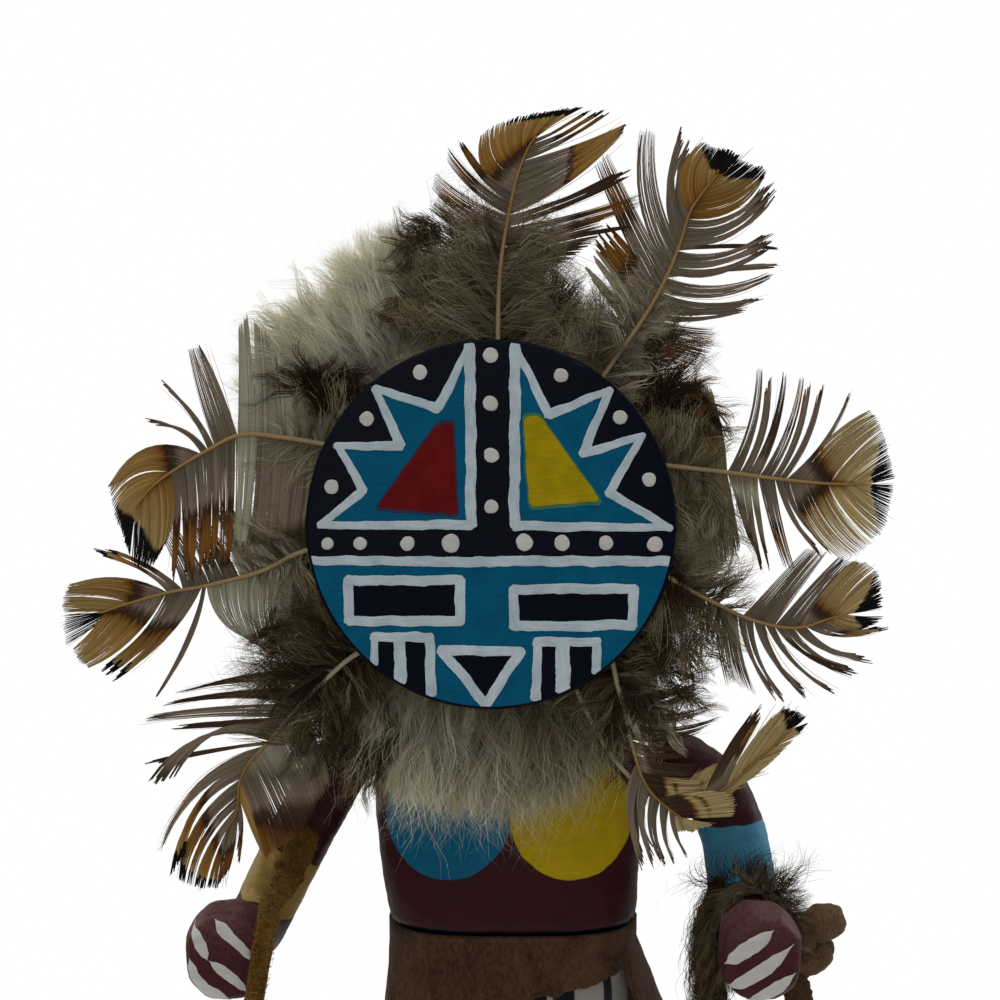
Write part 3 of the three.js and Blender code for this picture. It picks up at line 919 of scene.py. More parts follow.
    def strokes(self, arm: Piece, name: str, lines: Lines) -> Piece:
        """Paints raised brush strokes on a fist.

        Args:
            arm: The arm to paint on.
            name: The new piece's name.
            lines: For each stroke its points (x, z, half width), in millimetres.

        Returns:
            The strokes.
        """
        graph = bpy.context.evaluated_depsgraph_get()
        tree = BVHTree.FromObject(arm, graph)
        draft = Draft()
        for number, line in enumerate(lines):
            rows, columns = self.stroke_rows, self.stroke_columns
            knots = np.array(line, dtype=float)
            place = np.linspace(0, len(knots) - 1, rows)
            x, z, half = (np.interp(place, range(len(knots)), knots[:, i]) for i in range(3))
            for _ in range(3):
                x[1:-1] = (x[:-2] + x[1:-1] * 2 + x[2:]) / 4
                z[1:-1] = (z[:-2] + z[1:-1] * 2 + z[2:]) / 4
            path = joined(x, z)
            along = unit(np.gradient(path, axis=0))
            side = np.stack([-along[:, 1], along[:, 0]], -1)
            end = np.minimum(np.linspace(0, 1, rows), np.linspace(1, 0, rows))
            half = self.stroke_width * half * smooth(end, -0.03, 0.2) * (1 + 0.07 * ripple(path, 2.6, 50 + number))
            spread = np.linspace(-1, 1, columns)
            flat = path[:, None, :] + side[:, None, :] * (half[:, None] * spread[None, :])[..., None]
            raise_by = self.stroke_edge + self.stroke_height * (1 - np.abs(spread) ** 4)
            points = np.empty((rows, columns, 3))
            for i in range(rows):
                for j in range(columns):
                    u, w = flat[i, j]
                    start = Vector((u * MM, self.in_front, w * MM))
                    hit, normal, _, _ = tree.ray_cast(start, Vector((0, 1, 0)))
                    if hit is None or hit.y > self.fist_back:
                        hit, normal, _, _ = tree.find_nearest(Vector((u * MM, self.fist_front, w * MM)))
                    points[i, j] = hit + normal * raise_by[j] * MM
            draft.add(points, sheet_faces(rows, columns)[:, ::-1])
        piece = draft.piece(name, [Paint(Pigment.CHALK, gloss=0.5).material()])
        return piece

    def build(self) -> list[Piece]:
        """Makes the body, the arms and their strokes.

        Returns:
            The pieces.
        """
        body = remeshed("body", "carved_body", self.body_voxel, 5)
        moved(body, lambda p, n: 0.12 * ripple(p, 9, 1) + 0.06 * ripple(p, 3.4, 2))
        body.data.materials.append(self.body_material())
        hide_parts("body")
        pieces = [body]
        paints = {
            "left_arm": self.arm_material("left_arm_paint", Pigment.OCHRE, (92.5, 106.5), 0.55),
            "right_arm": self.arm_material("right_arm_paint", Pigment.SKY, (109.0, 133.2), -0.09),
        }
        for node, material in paints.items():
            arm = remeshed(node, "carved_" + node, self.arm_voxel, 34)
            moved(arm, lambda p, n: 0.1 * ripple(p, 6, 3) + 0.05 * ripple(p, 2.2, 4))
            arm.data.materials.append(material)
            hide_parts(node)
            pieces.append(arm)
        pieces.append(self.strokes(pieces[1], "left_fist_strokes", self.left_strokes))
        pieces.append(self.strokes(pieces[2], "right_fist_strokes", self.right_strokes))
        return pieces


# --- the painted face ---


@dataclass
class SunFace:
    """The round wooden face and the coats of paint on it, in millimetres from its middle."""

    radius: float = FACE.disc_radius
    right: float = FACE.disc_right
    down: float = FACE.disc_down
    thickness: float = 6.0
    bevel: float = 0.8
    around: int = 180
    coat: float = 0.035
    grown: float = 1.016
    nudge: float = 0.2

    def front(self, x: Array, z: Array, lift: Array | float) -> Array:
        """Returns points on the front of the face, raised by a coat of paint.

        Args:
            x: To the right of the middle.
            z: Above the middle.
            lift: The height above the wood.

        Returns:
            The points, in metres.
        """
        return FACE.world(x + self.right, -self.thickness - np.asarray(lift, float), z - self.down)

    def disc(self) -> Piece:
        """Makes the wooden disc in its dark ground coat.

        Returns:
            The piece.
        """
        turn = np.linspace(0, math.pi / 2, 5)
        edge, depth = self.radius - self.bevel, self.thickness - self.bevel
        profile = [(0.01, 0.0), (edge, 0.0)]
        profile += [(edge + self.bevel * math.sin(a), self.bevel * (1 - math.cos(a))) for a in turn]
        profile += [(edge + self.bevel * math.cos(a), depth + self.bevel * math.sin(a)) for a in turn]
        profile += [(edge * 0.66, self.thickness), (edge * 0.33, self.thickness), (0.01, self.thickness)]
        r, y = np.array(profile).T
        angle = circle(self.around)
        whittled = 1 - 0.0022 * (1 + ripple(joined(np.cos(angle), np.sin(angle)), 0.5, 8))
        r = np.minimum(r[:, None] * whittled[None, :], self.radius)
        points = FACE.world(r * np.cos(angle) + self.right, -y[:, None], r * np.sin(angle) - self.down)
        draft = Draft()
        draft.add(points, sheet_faces(len(y), self.around, tube=True)[:, ::-1])
        piece = draft.piece("face_disc", [Paint(Pigment.NIGHT, gloss=0.4).material()])
        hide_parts("sun_face")
        return piece

    def clipped(self, x: Array, z: Array) -> tuple[Array, Array]:
        """Keeps paint on the disc's flat front.

        Args:
            x: To the right of the middle.
            z: Above the middle.

        Returns:
            The kept x and z.
        """
        share = np.minimum(1.0, (self.radius - self.bevel + 0.1) / np.maximum(np.hypot(x, z), 1e-6))
        return x * share, z * share

    def spread(self, draft: Draft, x: Array, z: Array, lift: Array, faces: Array, slot: int, brush: Array) -> None:
        """Adds a patch of paint, mapped flat so that each place on the face has its own place on the map.

        Args:
            draft: The draft to fill.
            x: To the right of the middle.
            z: Above the middle.
            lift: The height above the wood.
            faces: The patch's faces.
            slot: The number of its paint.
            brush: For each point, its place across and along the brush's way.
        """
        x, z = self.clipped(self.grown * x + self.nudge, self.grown * z)
        flat = joined(x, z).reshape(-1, 2) / (2.1 * self.radius) + 0.5
        draft.add(self.front(x, z, lift), faces, flat[faces], slot, brush.reshape(-1, 2)[faces])

    def region(
        self, draft: Draft, outline: Sequence[tuple[float, float]], level: float, slot: int, hub: tuple | None = None
    ) -> None:
        """Fills an outline with one coat.

        Args:
            draft: The draft to fill.
            outline: The outline's corners.
            level: Which coat it is, counted from the wood.
            slot: The number of its paint.
            hub: A point inside that sees every corner; the corners' middle if left out.
        """
        corners = np.array(outline, dtype=float)
        rim = []
        for start, stop in zip(corners, np.roll(corners, -1, axis=0)):
            steps = max(2, int(np.hypot(*(stop - start)) / 0.5))
            rim.append(start + (stop - start) * np.linspace(0, 1, steps, endpoint=False)[:, None])
        rim = np.concatenate(rim)
        rim = rim + 0.1 * joined(ripple(rim, 4, 31), ripple(rim, 4, 32))
        middle = np.array(hub) if hub else corners.mean(axis=0)
        shares = np.array([0.01, 0.35, 0.7, 1.0])
        grid = middle + (rim[None] - middle) * shares[:, None, None]
        faces = sheet_faces(len(shares), len(rim), tube=True)[:, ::-1]
        x, z = grid[..., 0], grid[..., 1]
        self.spread(draft, x, z, level * self.coat + 0 * x, faces, slot, joined(z, x))

    def stroke(self, draft: Draft, start: tuple, stop: tuple, half: float, end: float, level: float, slot: int) -> None:
        """Adds one brush stroke, a little thicker at its sides and ragged at its ends.

        Args:
            draft: The draft to fill.
            start: Where it starts.
            stop: Where it ends.
            half: Half its width at the start.
            end: Half its width at the end.
            level: Which coat it is.
            slot: The number of its paint.
        """
        first, last = np.array(start, float), np.array(stop, float)
        length = float(np.hypot(*(last - first)))
        along = (last - first) / length
        side = np.array([-along[1], along[0]])
        seed = int(abs(first[0] * 7 + first[1] * 13 + last[0] * 3)) % 97
        reach = 0.75 * half
        middle = np.linspace(reach, length - reach, max(3, int(length / 0.5)))
        first_end, last_end = (np.linspace(centre - reach, centre + reach, 9) for centre in (0, length))
        place = np.concatenate([first_end[:-1], middle, last_end[1:]])
        outside = np.clip(np.maximum(-place, place - length) / reach, 0, 1)
        width = (half + (end - half) * np.clip(place / length, 0, 1)) * np.sqrt(1 - 0.97 * outside**2)
        spread = np.linspace(-1, 1, 7)
        ragged = 0.16 * outside[:, None] * ripple(joined(spread * 9 + seed, 0.0), 2.0, seed)[None]
        path = first + along * place[:, None]
        path = path + side * (0.12 * ripple(path, 9, seed))[:, None]
        left = width * (1 + 0.09 * ripple(path, 4.5, seed + 1) + 0.045 * ripple(path, 1.1, seed + 3))
        right = width * (1 + 0.09 * ripple(path, 4.5, seed + 2) + 0.045 * ripple(path, 1.1, seed + 4))
        reach = np.where(spread[None] < 0, left[:, None] * spread, right[:, None] * spread)
        flat = path[:, None, :] + side * reach[..., None] + along * (ragged * half)[..., None]
        edge = np.array([0.1, 1.0, 0.85, 0.62, 0.85, 1.0, 0.1])
        bristle = 0.16 * ripple(np.stack([reach * 5, place[:, None] * 0.25 + 0 * reach], -1), 2.0, seed + 5)
        lift = level * self.coat + 0.085 * edge[None] * (1 + bristle)
        brush = np.stack([reach + seed, place[:, None] + 0 * reach], -1)
        faces = sheet_faces(len(place), len(spread))[:, ::-1]
        self.spread(draft, flat[..., 0], flat[..., 1], lift, faces, slot, brush)

    def dot(self, draft: Draft, x: float, z: float, radius: float, level: float, slot: int) -> None:
        """Adds one domed dot of paint, dabbed a little out of round.

        Args:
            draft: The draft to fill.
            x: To the right of the face's middle.
            z: Above the face's middle.
            radius: The dot's radius.
            level: Which coat it is.
            slot: The number of its paint.
        """
        angle = circle(28)
        ring = joined(np.cos(angle) + x, np.sin(angle) + z)
        uneven = 1 + 0.07 * ripple(ring, 3.2, 41) + 0.03 * ripple(ring, 1.2, 42)
        uneven = uneven + 0.13 * np.cos(angle - 0.7 - 0.3 * math.sin(x * 3 + z))
        shares = np.array([0.02, 0.45, 0.8, 0.95, 1.0])
        px = x + radius * shares[:, None] * uneven * np.cos(angle)
        pz = z + radius * shares[:, None] * uneven * np.sin(angle)
        lift = level * self.coat + np.array([0.26, 0.24, 0.2, 0.12, 0.0])[:, None] + 0 * px
        faces = sheet_faces(len(shares), len(angle), tube=True)[:, ::-1]
        self.spread(draft, px, pz, lift, faces, slot, joined(px * 0.3, pz * 0.3))

    def stars(self) -> tuple[list[tuple[float, float]], list[tuple[float, float]]]:
        """Gives the outlines of the two half stars.

        Returns:
            The left and the right outline.
        """
        left = [(-4.2, 33.6), (-10.2, 22.0), (-22.0, 25.6), (-17.2, 14.7), (-29.2, 14.8), (-24.3, 6.4)]
        left += [(-32.4, -0.2), (-3.9, -0.1)]
        right = [(4.4, 33.6), (10.8, 20.7), (22.3, 25.4), (17.2, 13.3), (28.4, 16.7), (22.0, 5.9)]
        right += [(33.6, -0.7), (4.2, -0.3)]
        return left, right

    def grounds(self, draft: Draft) -> None:
        """Lays the turquoise fields.

        Args:
            draft: The draft to fill.
        """
        rim = self.radius - self.bevel
        low = [(rim * math.cos(a), rim * math.sin(a)) for a in np.linspace(math.radians(-168), math.radians(-12), 60)]
        self.region(draft, low, 1, 0)
        for star, hub in zip(self.stars(), ((-12.0, 10.0), (12.0, 9.0))):
            self.region(draft, star, 1, 0, hub)
        self.stroke(draft, (15.4, 31.2), (18.6, 29.4), 0.5, 0.3, 1, 0)

    def blocks(self, draft: Draft) -> None:
        """Lays the red and yellow triangles and the black of the eyes, mouth and cheeks.

        Args:
            draft: The draft to fill.
        """
        red, yellow, night, plum, moss = range(5)
        triangles = (
            ([(-10.3, 19.0), (-21.8, 3.1), (-6.5, 1.9), (-7.4, 19.2)], 1.25, red, plum),
            ([(5.9, 20.3), (7.1, 3.3), (20.6, 4.4), (9.0, 20.6)], 1.35, yellow, moss),
        )
        for corners, soft, pot, shadow in triangles:
            middle = np.mean(corners, axis=0)
            wide = [tuple(middle + (np.array(c) - middle) * 1.075) for c in corners]
            self.region(draft, rounded(wide, soft * 1.1), 2, shadow)
            self.region(draft, rounded(corners, soft), 3, pot)
        self.region(draft, [(-27.0, -10.6), (-6.0, -10.6), (-6.0, -18.2), (-26.8, -18.0)], 2, night)
        self.region(draft, [(4.3, -12.2), (26.8, -12.1), (26.6, -19.1), (4.4, -19.1)], 2, night)
        self.region(draft, [(-8.8, -24.0), (4.6, -24.3), (-1.1, -33.4)], 2, night)
        rim = self.radius - self.bevel
        for top, turn, foot, heel in (
            ((-21.8, -21.6), (-11.6, -21.4), (-21.9, -26.3), (-11.0, -32.2)),
            ((9.0, -22.2), (19.8, -22.2), (8.6, -33.0), (19.8, -27.8)),
        ):
            arc = np.linspace(math.atan2(heel[1], heel[0]), math.atan2(foot[1], foot[0]), 12)
            self.region(draft, [top, turn, *((rim * math.cos(a), rim * math.sin(a)) for a in arc)], 2, night)

    def lines(self, draft: Draft) -> None:
        """Draws every white stroke.

        Args:
            draft: The draft to fill.
        """
        left, right = self.stars()
        for star in (left, right):
            widths = (0.62, 0.95, 0.7, 0.92, 0.66, 0.9, 0.7, 0.95)
            closed = [*star, star[0]]
            for i, (start, stop) in enumerate(zip(closed[:-1], closed[1:])):
                half, end = (1.0, 1.05) if i == len(star) - 1 else (widths[i], widths[i + 1])
                self.stroke(draft, start, stop, half, end, 4, 0)
        self.stroke(draft, (-34.0, -6.8), (-2.0, -7.2), 0.85, 1.0, 4, 0)
        self.stroke(draft, (-3.0, -7.0), (34.0, -7.0), 0.95, 0.9, 4, 0)
        boxes = (
            ((-27.2, -10.6), (-6.0, -10.6), (-6.0, -18.3), (-26.9, -18.3)),
            ((4.1, -12.2), (26.8, -12.3), (26.5, -19.1), (4.2, -19.3)),
            ((-9.6, -23.8), (5.4, -24.0), (-1.1, -34.0)),
        )
        for corners in boxes:
            for start, stop in zip(corners, (*corners[1:], corners[0])):
                self.stroke(draft, start, stop, 0.98, 0.92, 4, 0)
        uprights = (
            ((-22.2, -21.4), (-22.2, -26.4), 0.75),
            ((-17.5, -21.6), (-17.3, -29.6), 1.25),
            ((-11.8, -21.4), (-11.5, -32.0), 1.05),
            ((8.6, -22.4), (8.3, -33.0), 0.95),
            ((13.4, -22.4), (13.3, -31.2), 1.5),
            ((19.8, -22.2), (19.7, -27.9), 0.95),
        )
        for start, stop, half in uprights:
            self.stroke(draft, start, stop, half * 0.85, half, 4, 0)
        self.stroke(draft, (-22.4, -21.4), (-11.6, -21.3), 0.85, 1.0, 4.5, 0)
        self.stroke(draft, (8.4, -22.3), (20.0, -22.2), 0.95, 0.8, 4.5, 0)

    def dots(self, draft: Draft) -> None:
        """Dabs every white dot.

        Args:
            draft: The draft to fill.
        """
        for z, size in ((31.9, 1.5), (22.7, 1.5), (13.0, 1.5), (3.2, 1.4)):
            self.dot(draft, -0.2 - z * 0.01, z, size * 0.94, 1, 0)
        for x, size in ((-31.2, 1.15), (-25.0, 1.2), (-16.1, 1.35), (-7.9, 1.75)):
            self.dot(draft, x, -3.8, size, 1, 0)
        for x, size in ((6.0, 1.6), (13.1, 1.5), (21.4, 1.35), (30.6, 1.45)):
            self.dot(draft, x, -3.6 - (x > 25) * 0.3, size, 1, 0)
        for x, z in ((-13.7, 28.6), (-23.8, 19.8), (-30.4, 7.0), (12.9, 28.0), (24.1, 20.1), (29.6, 8.3)):
            self.dot(draft, x, z, 1.36, 1, 0)

    def build(self) -> list[Piece]:
        """Makes the disc and its coats of paint.

        Returns:
            The pieces.
        """
        coats = (
            ("face_grounds", self.grounds, (Pigment.TURQUOISE,)),
            ("face_blocks", self.blocks, (Pigment.RED, Pigment.YELLOW, Pigment.NIGHT, Pigment.PLUM, Pigment.MOSS)),
            ("face_lines", self.lines, (Pigment.WHITE,)),
            ("face_dots", self.dots, (Pigment.CHALK,)),
        )
        pieces = [self.disc()]
        for name, lay, pigments in coats:
            draft = Draft()
            lay(draft)
            finish = Paint.material if pigments == (Pigment.CHALK,) else Paint.brushed
            piece = draft.piece(name, [finish(Paint(p)) for p in pigments])
            pieces.append(piece)
        return pieces


def rounded(corners: Sequence[tuple[float, float]], radius: float) -> list[tuple[float, float]]:
    """Rounds the corners of an outline.

    Args:
        corners: The outline.
        radius: How far from each corner the rounding starts.

    Returns:
        The rounded outline.
    """
    points = [np.array(c, float) for c in corners]
    result = []
    for before, here, after in zip([points[-1], *points[:-1]], points, [*points[1:], points[0]]):
        start = here + unit(before - here) * radius
        stop = here + unit(after - here) * radius
        for share in np.linspace(0, 1, 6):
            result.append(tuple((1 - share) ** 2 * start + 2 * share * (1 - share) * here + share**2 * stop))
    return result


# --- fur ---


@dataclass(frozen=True)
class Hair:
    """How one kind of hair or down grows, in millimetres and radians."""

    width: float = 0.12
    steps: int = 6
    stray: float = 0.2
    lock_stray: float = 0.25
    wave: float = 0.35
    curl: float = 0.0
    droop: float = 0.003
    pull: float = 0.55
    lock_size: int = 24
    tip: float = 0.12
    late: float = 1.6
    shading: float = 0.04
    map_width: float = 0.012

    def grow(
        self,
        draft: Draft,
        roots: Array,
        ways: Array,
        faces: Array,
        lengths: Array,
        tints: Array,
        rng: np.random.Generator,
    ) -> None:
        """Grows hairs in locks whose ends come together.

        Args:
            draft: The draft to fill.
            roots: The hairs' roots, sorted so that neighbours share a lock.
            ways: The directions they set out in.
            faces: The directions that the surface faces.
            lengths: Their lengths.
            tints: Their tints, from 0 (pale) to 1 (dark).
            rng: The draw to use.
        """
        count = len(roots)
        locks = np.arange(count) // self.lock_size
        own = rng.normal(0, 1, (locks.max() + 1, 6))[locks]
        s = np.linspace(0, 1, self.steps)[None, :]
        ways = unit(ways)
        side = unit(np.cross(ways, unit(faces)))
        front = np.cross(side, ways)
        turn = (own[:, 0] * self.lock_stray + rng.normal(0, self.stray, count))[:, None] * (0.35 + s)
        turn = turn + self.wave * np.sin(2 * math.pi * (s * (1.1 + 0.3 * own[:, 1:2]) + own[:, 2:3]))
        spin = np.where(own[:, 3] > 0, 1.0, -1.0) * (0.6 + 0.4 * np.abs(own[:, 3])) * rng.uniform(0.85, 1.15, count)
        turn = turn + (spin * self.curl)[:, None] * s**self.late
        rise = (own[:, 4] * self.lock_stray * 0.5 + rng.normal(0, self.stray * 0.6, count))[:, None]
        rise = rise + (own[:, 1] * 0.4 * min(self.curl, 1.5))[:, None] * s * 0.4
        stride = (lengths / (self.steps - 1))[:, None]
        heading = (
            ways[:, None] * (np.cos(turn) * np.cos(rise))[..., None]
            + side[:, None] * (np.sin(turn) * np.cos(rise))[..., None]
            + front[:, None] * (np.sin(rise) + 0 * turn)[..., None]
        )
        paths = roots[:, None] + np.cumsum(heading * stride[..., None], axis=1) - heading * stride[..., None]
        paths[..., 2] -= (lengths[:, None] * s) ** 2 * self.droop
        tips = np.stack([np.bincount(locks, paths[:, -1, i]) for i in range(3)], -1)
        middle = (tips / np.bincount(locks)[:, None])[locks]
        paths += (middle - paths[:, -1])[:, None] * (s**2 * self.pull)[..., None]
        paths = FACE.behind(paths)
        tilt = rng.normal(0, 0.45, count)[:, None]
        across = unit(side * np.cos(tilt) + front * np.sin(tilt))
        widths = tapered(self.steps, count, self.width * MM, self.tip, rng)
        tint = np.clip(tints + self.shading * own[:, 5], 0.02, 0.98)[:, None]
        near, far = tint - self.map_width, tint + self.map_width
        along = np.linspace(0.02, 0.98, self.steps)
        low, high = along[:-1], along[1:]
        corners = mapped((near, low), (far, low), (far, high), (near, high))
        ribbons(draft, paths * MM, widths, across[:, None], corners)


@dataclass(frozen=True)
class Coat:
    """One coat of the ruff: its hair, its arc in degrees, how thick it grows and where."""

    name: str
    hair: Hair
    count: int
    arc: tuple[float, float]
    start: float
    lean: float
    length: float
    seed: int
    depth: tuple[float, float] = (0.0, 0.25)
    spill: float = 0.0
    wisps: float = 1.6
    hang: float = 0.0
    paler: float = 0.0


@dataclass
class FurRuff:
    """The rabbit fur behind the face: a hide ring and nine coats of long hair."""

    # angle, reach, front and back of the ring, and the hair's tint (0 pale, 1 dark)
    table: tuple[tuple[float, float, float, float, float], ...] = (
        (0, 46, 5.6, 15, 0.68),
        (30, 48, 5.6, 15, 0.84),
        (60, 50, 5.6, 16, 0.78),
        (90, 55, 5.6, 16, 0.7),
        (102, 60, 5.6, 16, 0.6),
        (107, 62, 5.6, 16, 0.12),
        (116, 62.5, 5.6, 16, 0.0),
        (124, 59, 5.6, 16, 0.0),
        (129, 56, 5.6, 16, 0.03),
        (138, 61, 5.6, 16, 0.0),
        (146, 59, 5.6, 15, 0.04),
        (154, 52, 5.6, 15, 0.2),
        (162, 50, 5.6, 15, 0.5),
        (180, 46, 5.6, 15, 0.6),
        (205, 48, 5.6, 14, 0.66),
        (226, 54, 5.6, 11, 0.72),
        (240, 58, 3.0, 9, 0.5),
        (250, 59, 1.8, 8.4, 0.22),
        (262, 59, 1.8, 8.4, 0.26),
        (272, 59, 1.8, 8.4, 0.44),
        (284, 59, 1.8, 8.4, 0.5),
        (294, 56, 4.0, 9, 0.6),
        (314, 50, 5.6, 11, 0.72),
        (336, 46, 5.6, 14, 0.78),
        (360, 46, 5.6, 15, 0.68),
    )
    inner: float = 24.5
    coats: tuple[Coat, ...] = (
        Coat(
            "ruff_cream",
            Hair(0.115, 5, 0.2, 0.35, 0.4, 0.3, pull=0.6),
            8900, (104, 166), 0.2, -0.12, 14.5, 11, spill=0.5, wisps=3.6, paler=-0.06,
        ),
        Coat(
            "ruff_cream_wisps",
            Hair(0.06, 6, 0.3, 0.35, 0.5, 0.6, lock_size=9, pull=0.3),
            700, (106, 158), 0.6, -0.1, 16, 21, spill=2.5, wisps=5.0, paler=0.1,
        ),
        Coat(
            "ruff_top",
            Hair(0.12, 6, 0.3, 0.5, 0.8, 2.2, lock_size=14),
            3600, (30, 108), 0.15, -0.1, 12, 12, spill=-1.0,
        ),
        Coat(
            "ruff_right",
            Hair(0.115, 6, 0.2, 0.45, 0.7, 1.1, lock_size=18, shading=0.07),
            4600, (-52, 34), 0.15, 0.0, 14, 13, spill=1.5, wisps=2.6,
        ),
        Coat(
            "ruff_left",
            Hair(0.115, 6, 0.2, 0.45, 0.7, 1.1, lock_size=18, shading=0.07),
            4400, (162, 236), 0.15, 0.0, 13, 14, spill=0.0,
        ),
        Coat(
            "ruff_bib",
            Hair(0.1, 6, 0.14, 0.34, 0.55, 0.6, pull=0.72, lock_size=34, shading=0.07),
            7900, (226, 312), 0.1, 0.1, 20, 15, spill=-3.0, wisps=4.2, hang=0.6,
        ),
        Coat(
            "ruff_bib_loose",
            Hair(0.075, 7, 0.3, 0.4, 0.7, 0.9, lock_size=7, pull=0.3),
            1300, (232, 308), 0.3, -0.1, 25, 16, spill=0.5, wisps=6.5, hang=0.7, paler=0.2,
        ),
        Coat(
            "ruff_rim",
            Hair(0.14, 5, 0.3, 0.35, 0.35),
            4200, (0, 360), 0.72, 0.0, 11, 17, depth=(0.1, 0.9), spill=-2.0,
        ),
        Coat(
            "ruff_back",
            Hair(0.18, 4, 0.25, 0.3, 0.3),
            4800, (0, 360), 0.02, 0.35, 13, 18, depth=(1.05, 1.3), spill=-1.0,
        ),
    )

    def at(self, degrees: Array, column: int) -> Array:
        """Reads the table.

        Args:
            degrees: Angles, counted from the right towards the top.
            column: Which column to read.

        Returns:
            The values at the angles.
        """
        rows = np.array(self.table)
        return np.interp(np.mod(degrees, 360), rows[:, 0], rows[:, column])

    def hide(self) -> Piece:
        """Makes the ring of hide that the long hair grows from.

        Returns:
            The piece.
        """
        columns = 240
        degrees = np.linspace(0, 360, columns, endpoint=False)
        angle = np.radians(degrees)
        reach, front, back = (self.at(degrees, i) for i in (1, 2, 3))
        low = smooth(degrees, 228, 244) * (1 - smooth(degrees, 290, 304))
        reach = reach * (0.84 - 0.04 * low) + 1.6 * ripple(joined(np.cos(angle), np.sin(angle)), 0.3, 3)
        section = [(0.0, 0.15), (0.5, 0.05), (0.85, 0.08), (0.96, 0.25), (1.0, 0.5), (0.96, 0.75)]
        section += [(0.85, 0.9), (0.5, 1.1), (0.25, 1.35), (0.0, 1.6), (0.0, 1.2), (0.0, 0.6)]
        out, deep = np.array(section).T
        rows = len(out)
        r = self.inner + 0.2 + (reach - self.inner)[None, :] * out[:, None]
        y = front[None, :] + 0.3 + (back - front)[None, :] * deep[:, None] * 0.86
        points = FACE.world(r * np.cos(angle), y, r * np.sin(angle))
        points += 0.0008 * ripple(points / MM, 5, 5)[..., None]
        faces = sheet_faces(rows, columns, ring=True, tube=True)
        row, column = np.divmod(np.arange(rows * columns), columns)
        u0, v0 = column / columns, row / rows
        corners = mapped(*((u0 + du / columns, v0 + dv / rows) for du, dv in ((0, 0), (1, 0), (1, 1), (0, 1))))
        shade = Shade("undercoat", Specular_IOR_Level=0.05)
        round_it, _ = shade.strand()
        tuft = shade.noise(1.2, (1.0, 1.0, 1.0), detail=5, rough=0.75, swirl=1.0)
        stops = [(row[0] / 360, tinted(row[4])) for row in self.table]
        tone = shade.ramp(round_it, stops)
        shade.set(Base_Color=shade.scale(tone, tuft.rise(0.25, 0.75) * 0.6 + 0.3), Roughness=tuft * 0.1 + 0.88)
        shade.bump(tuft, 1.0)
        draft = Draft()
        draft.add(points, faces, corners)
        piece = draft.piece("ruff_hide", [shade.material])
        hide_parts("fur_ruff")
        return piece

    def grown(self, coat: Coat) -> Piece:
        """Grows one coat of hair.

        Args:
            coat: The coat.

        Returns:
            The coat's piece.
        """
        rng = np.random.default_rng(coat.seed)
        degrees = rng.uniform(*coat.arc, coat.count)
        share = np.sqrt(rng.uniform(coat.start, 1.0, coat.count))
        cell = np.lexsort((degrees, np.floor(share * 5), np.floor(degrees / 4)))
        degrees, share = degrees[cell], share[cell]
        reach, front, back = (self.at(degrees, i) for i in (1, 2, 3))
        root = self.inner + (reach * 0.84 - self.inner) * share
        deep = rng.uniform(*coat.depth, coat.count)
        y = front + 0.3 + (back - front) * deep * (share**4 if coat.depth[0] == 0 else 1)
        angle = np.radians(degrees)
        down = np.mod(-math.pi / 2 - angle + math.pi, 2 * math.pi) - math.pi
        heading = angle + down * coat.hang
        lean = coat.lean + ((deep - 0.5) if coat.depth[0] == 0.1 else 0)
        ways = FACE.way(np.cos(heading), lean + 0 * heading, np.sin(heading))
        over = reach + coat.spill + np.abs(rng.normal(0, coat.wisps, coat.count))
        lengths = np.clip(np.minimum(coat.length * rng.uniform(0.75, 1.3, coat.count), over - root), 2.5, None)
        roots = FACE.world(root * np.cos(angle), y, root * np.sin(angle)) / MM
        tints = self.at(degrees + 7 * ripple(joined(degrees / 12, root / 12), 1.3, 91), 4)
        tints = tints - coat.paler + 0.09 * ripple(roots, 5, coat.seed) + rng.normal(0, 0.07, coat.count)
        draft = Draft()
        faces = np.broadcast_to(FACE.way(0.0, -1.0, 0.0), roots.shape)
        coat.hair.grow(draft, roots, ways, faces, lengths, tints, rng)
        piece = draft.piece(coat.name, [RABBIT.material()])
        return piece

    def build(self) -> list[Piece]:
        """Makes the hide and its coats, and returns them."""
        return [self.hide(), *(self.grown(coat) for coat in self.coats)]


@dataclass(frozen=True)
class Tuft:
    """A loose tuft of curly down in the face's plane: place, heading, spread, length, locks and tint."""

    x: float
    z: float
    heading: float
    fan: float
    length: float
    locks: int
    tint: float
    radius: float = 2.0
    curl: float = 1.4
    y: float = 0.6
    each: int = 13
    ruddy: bool = False


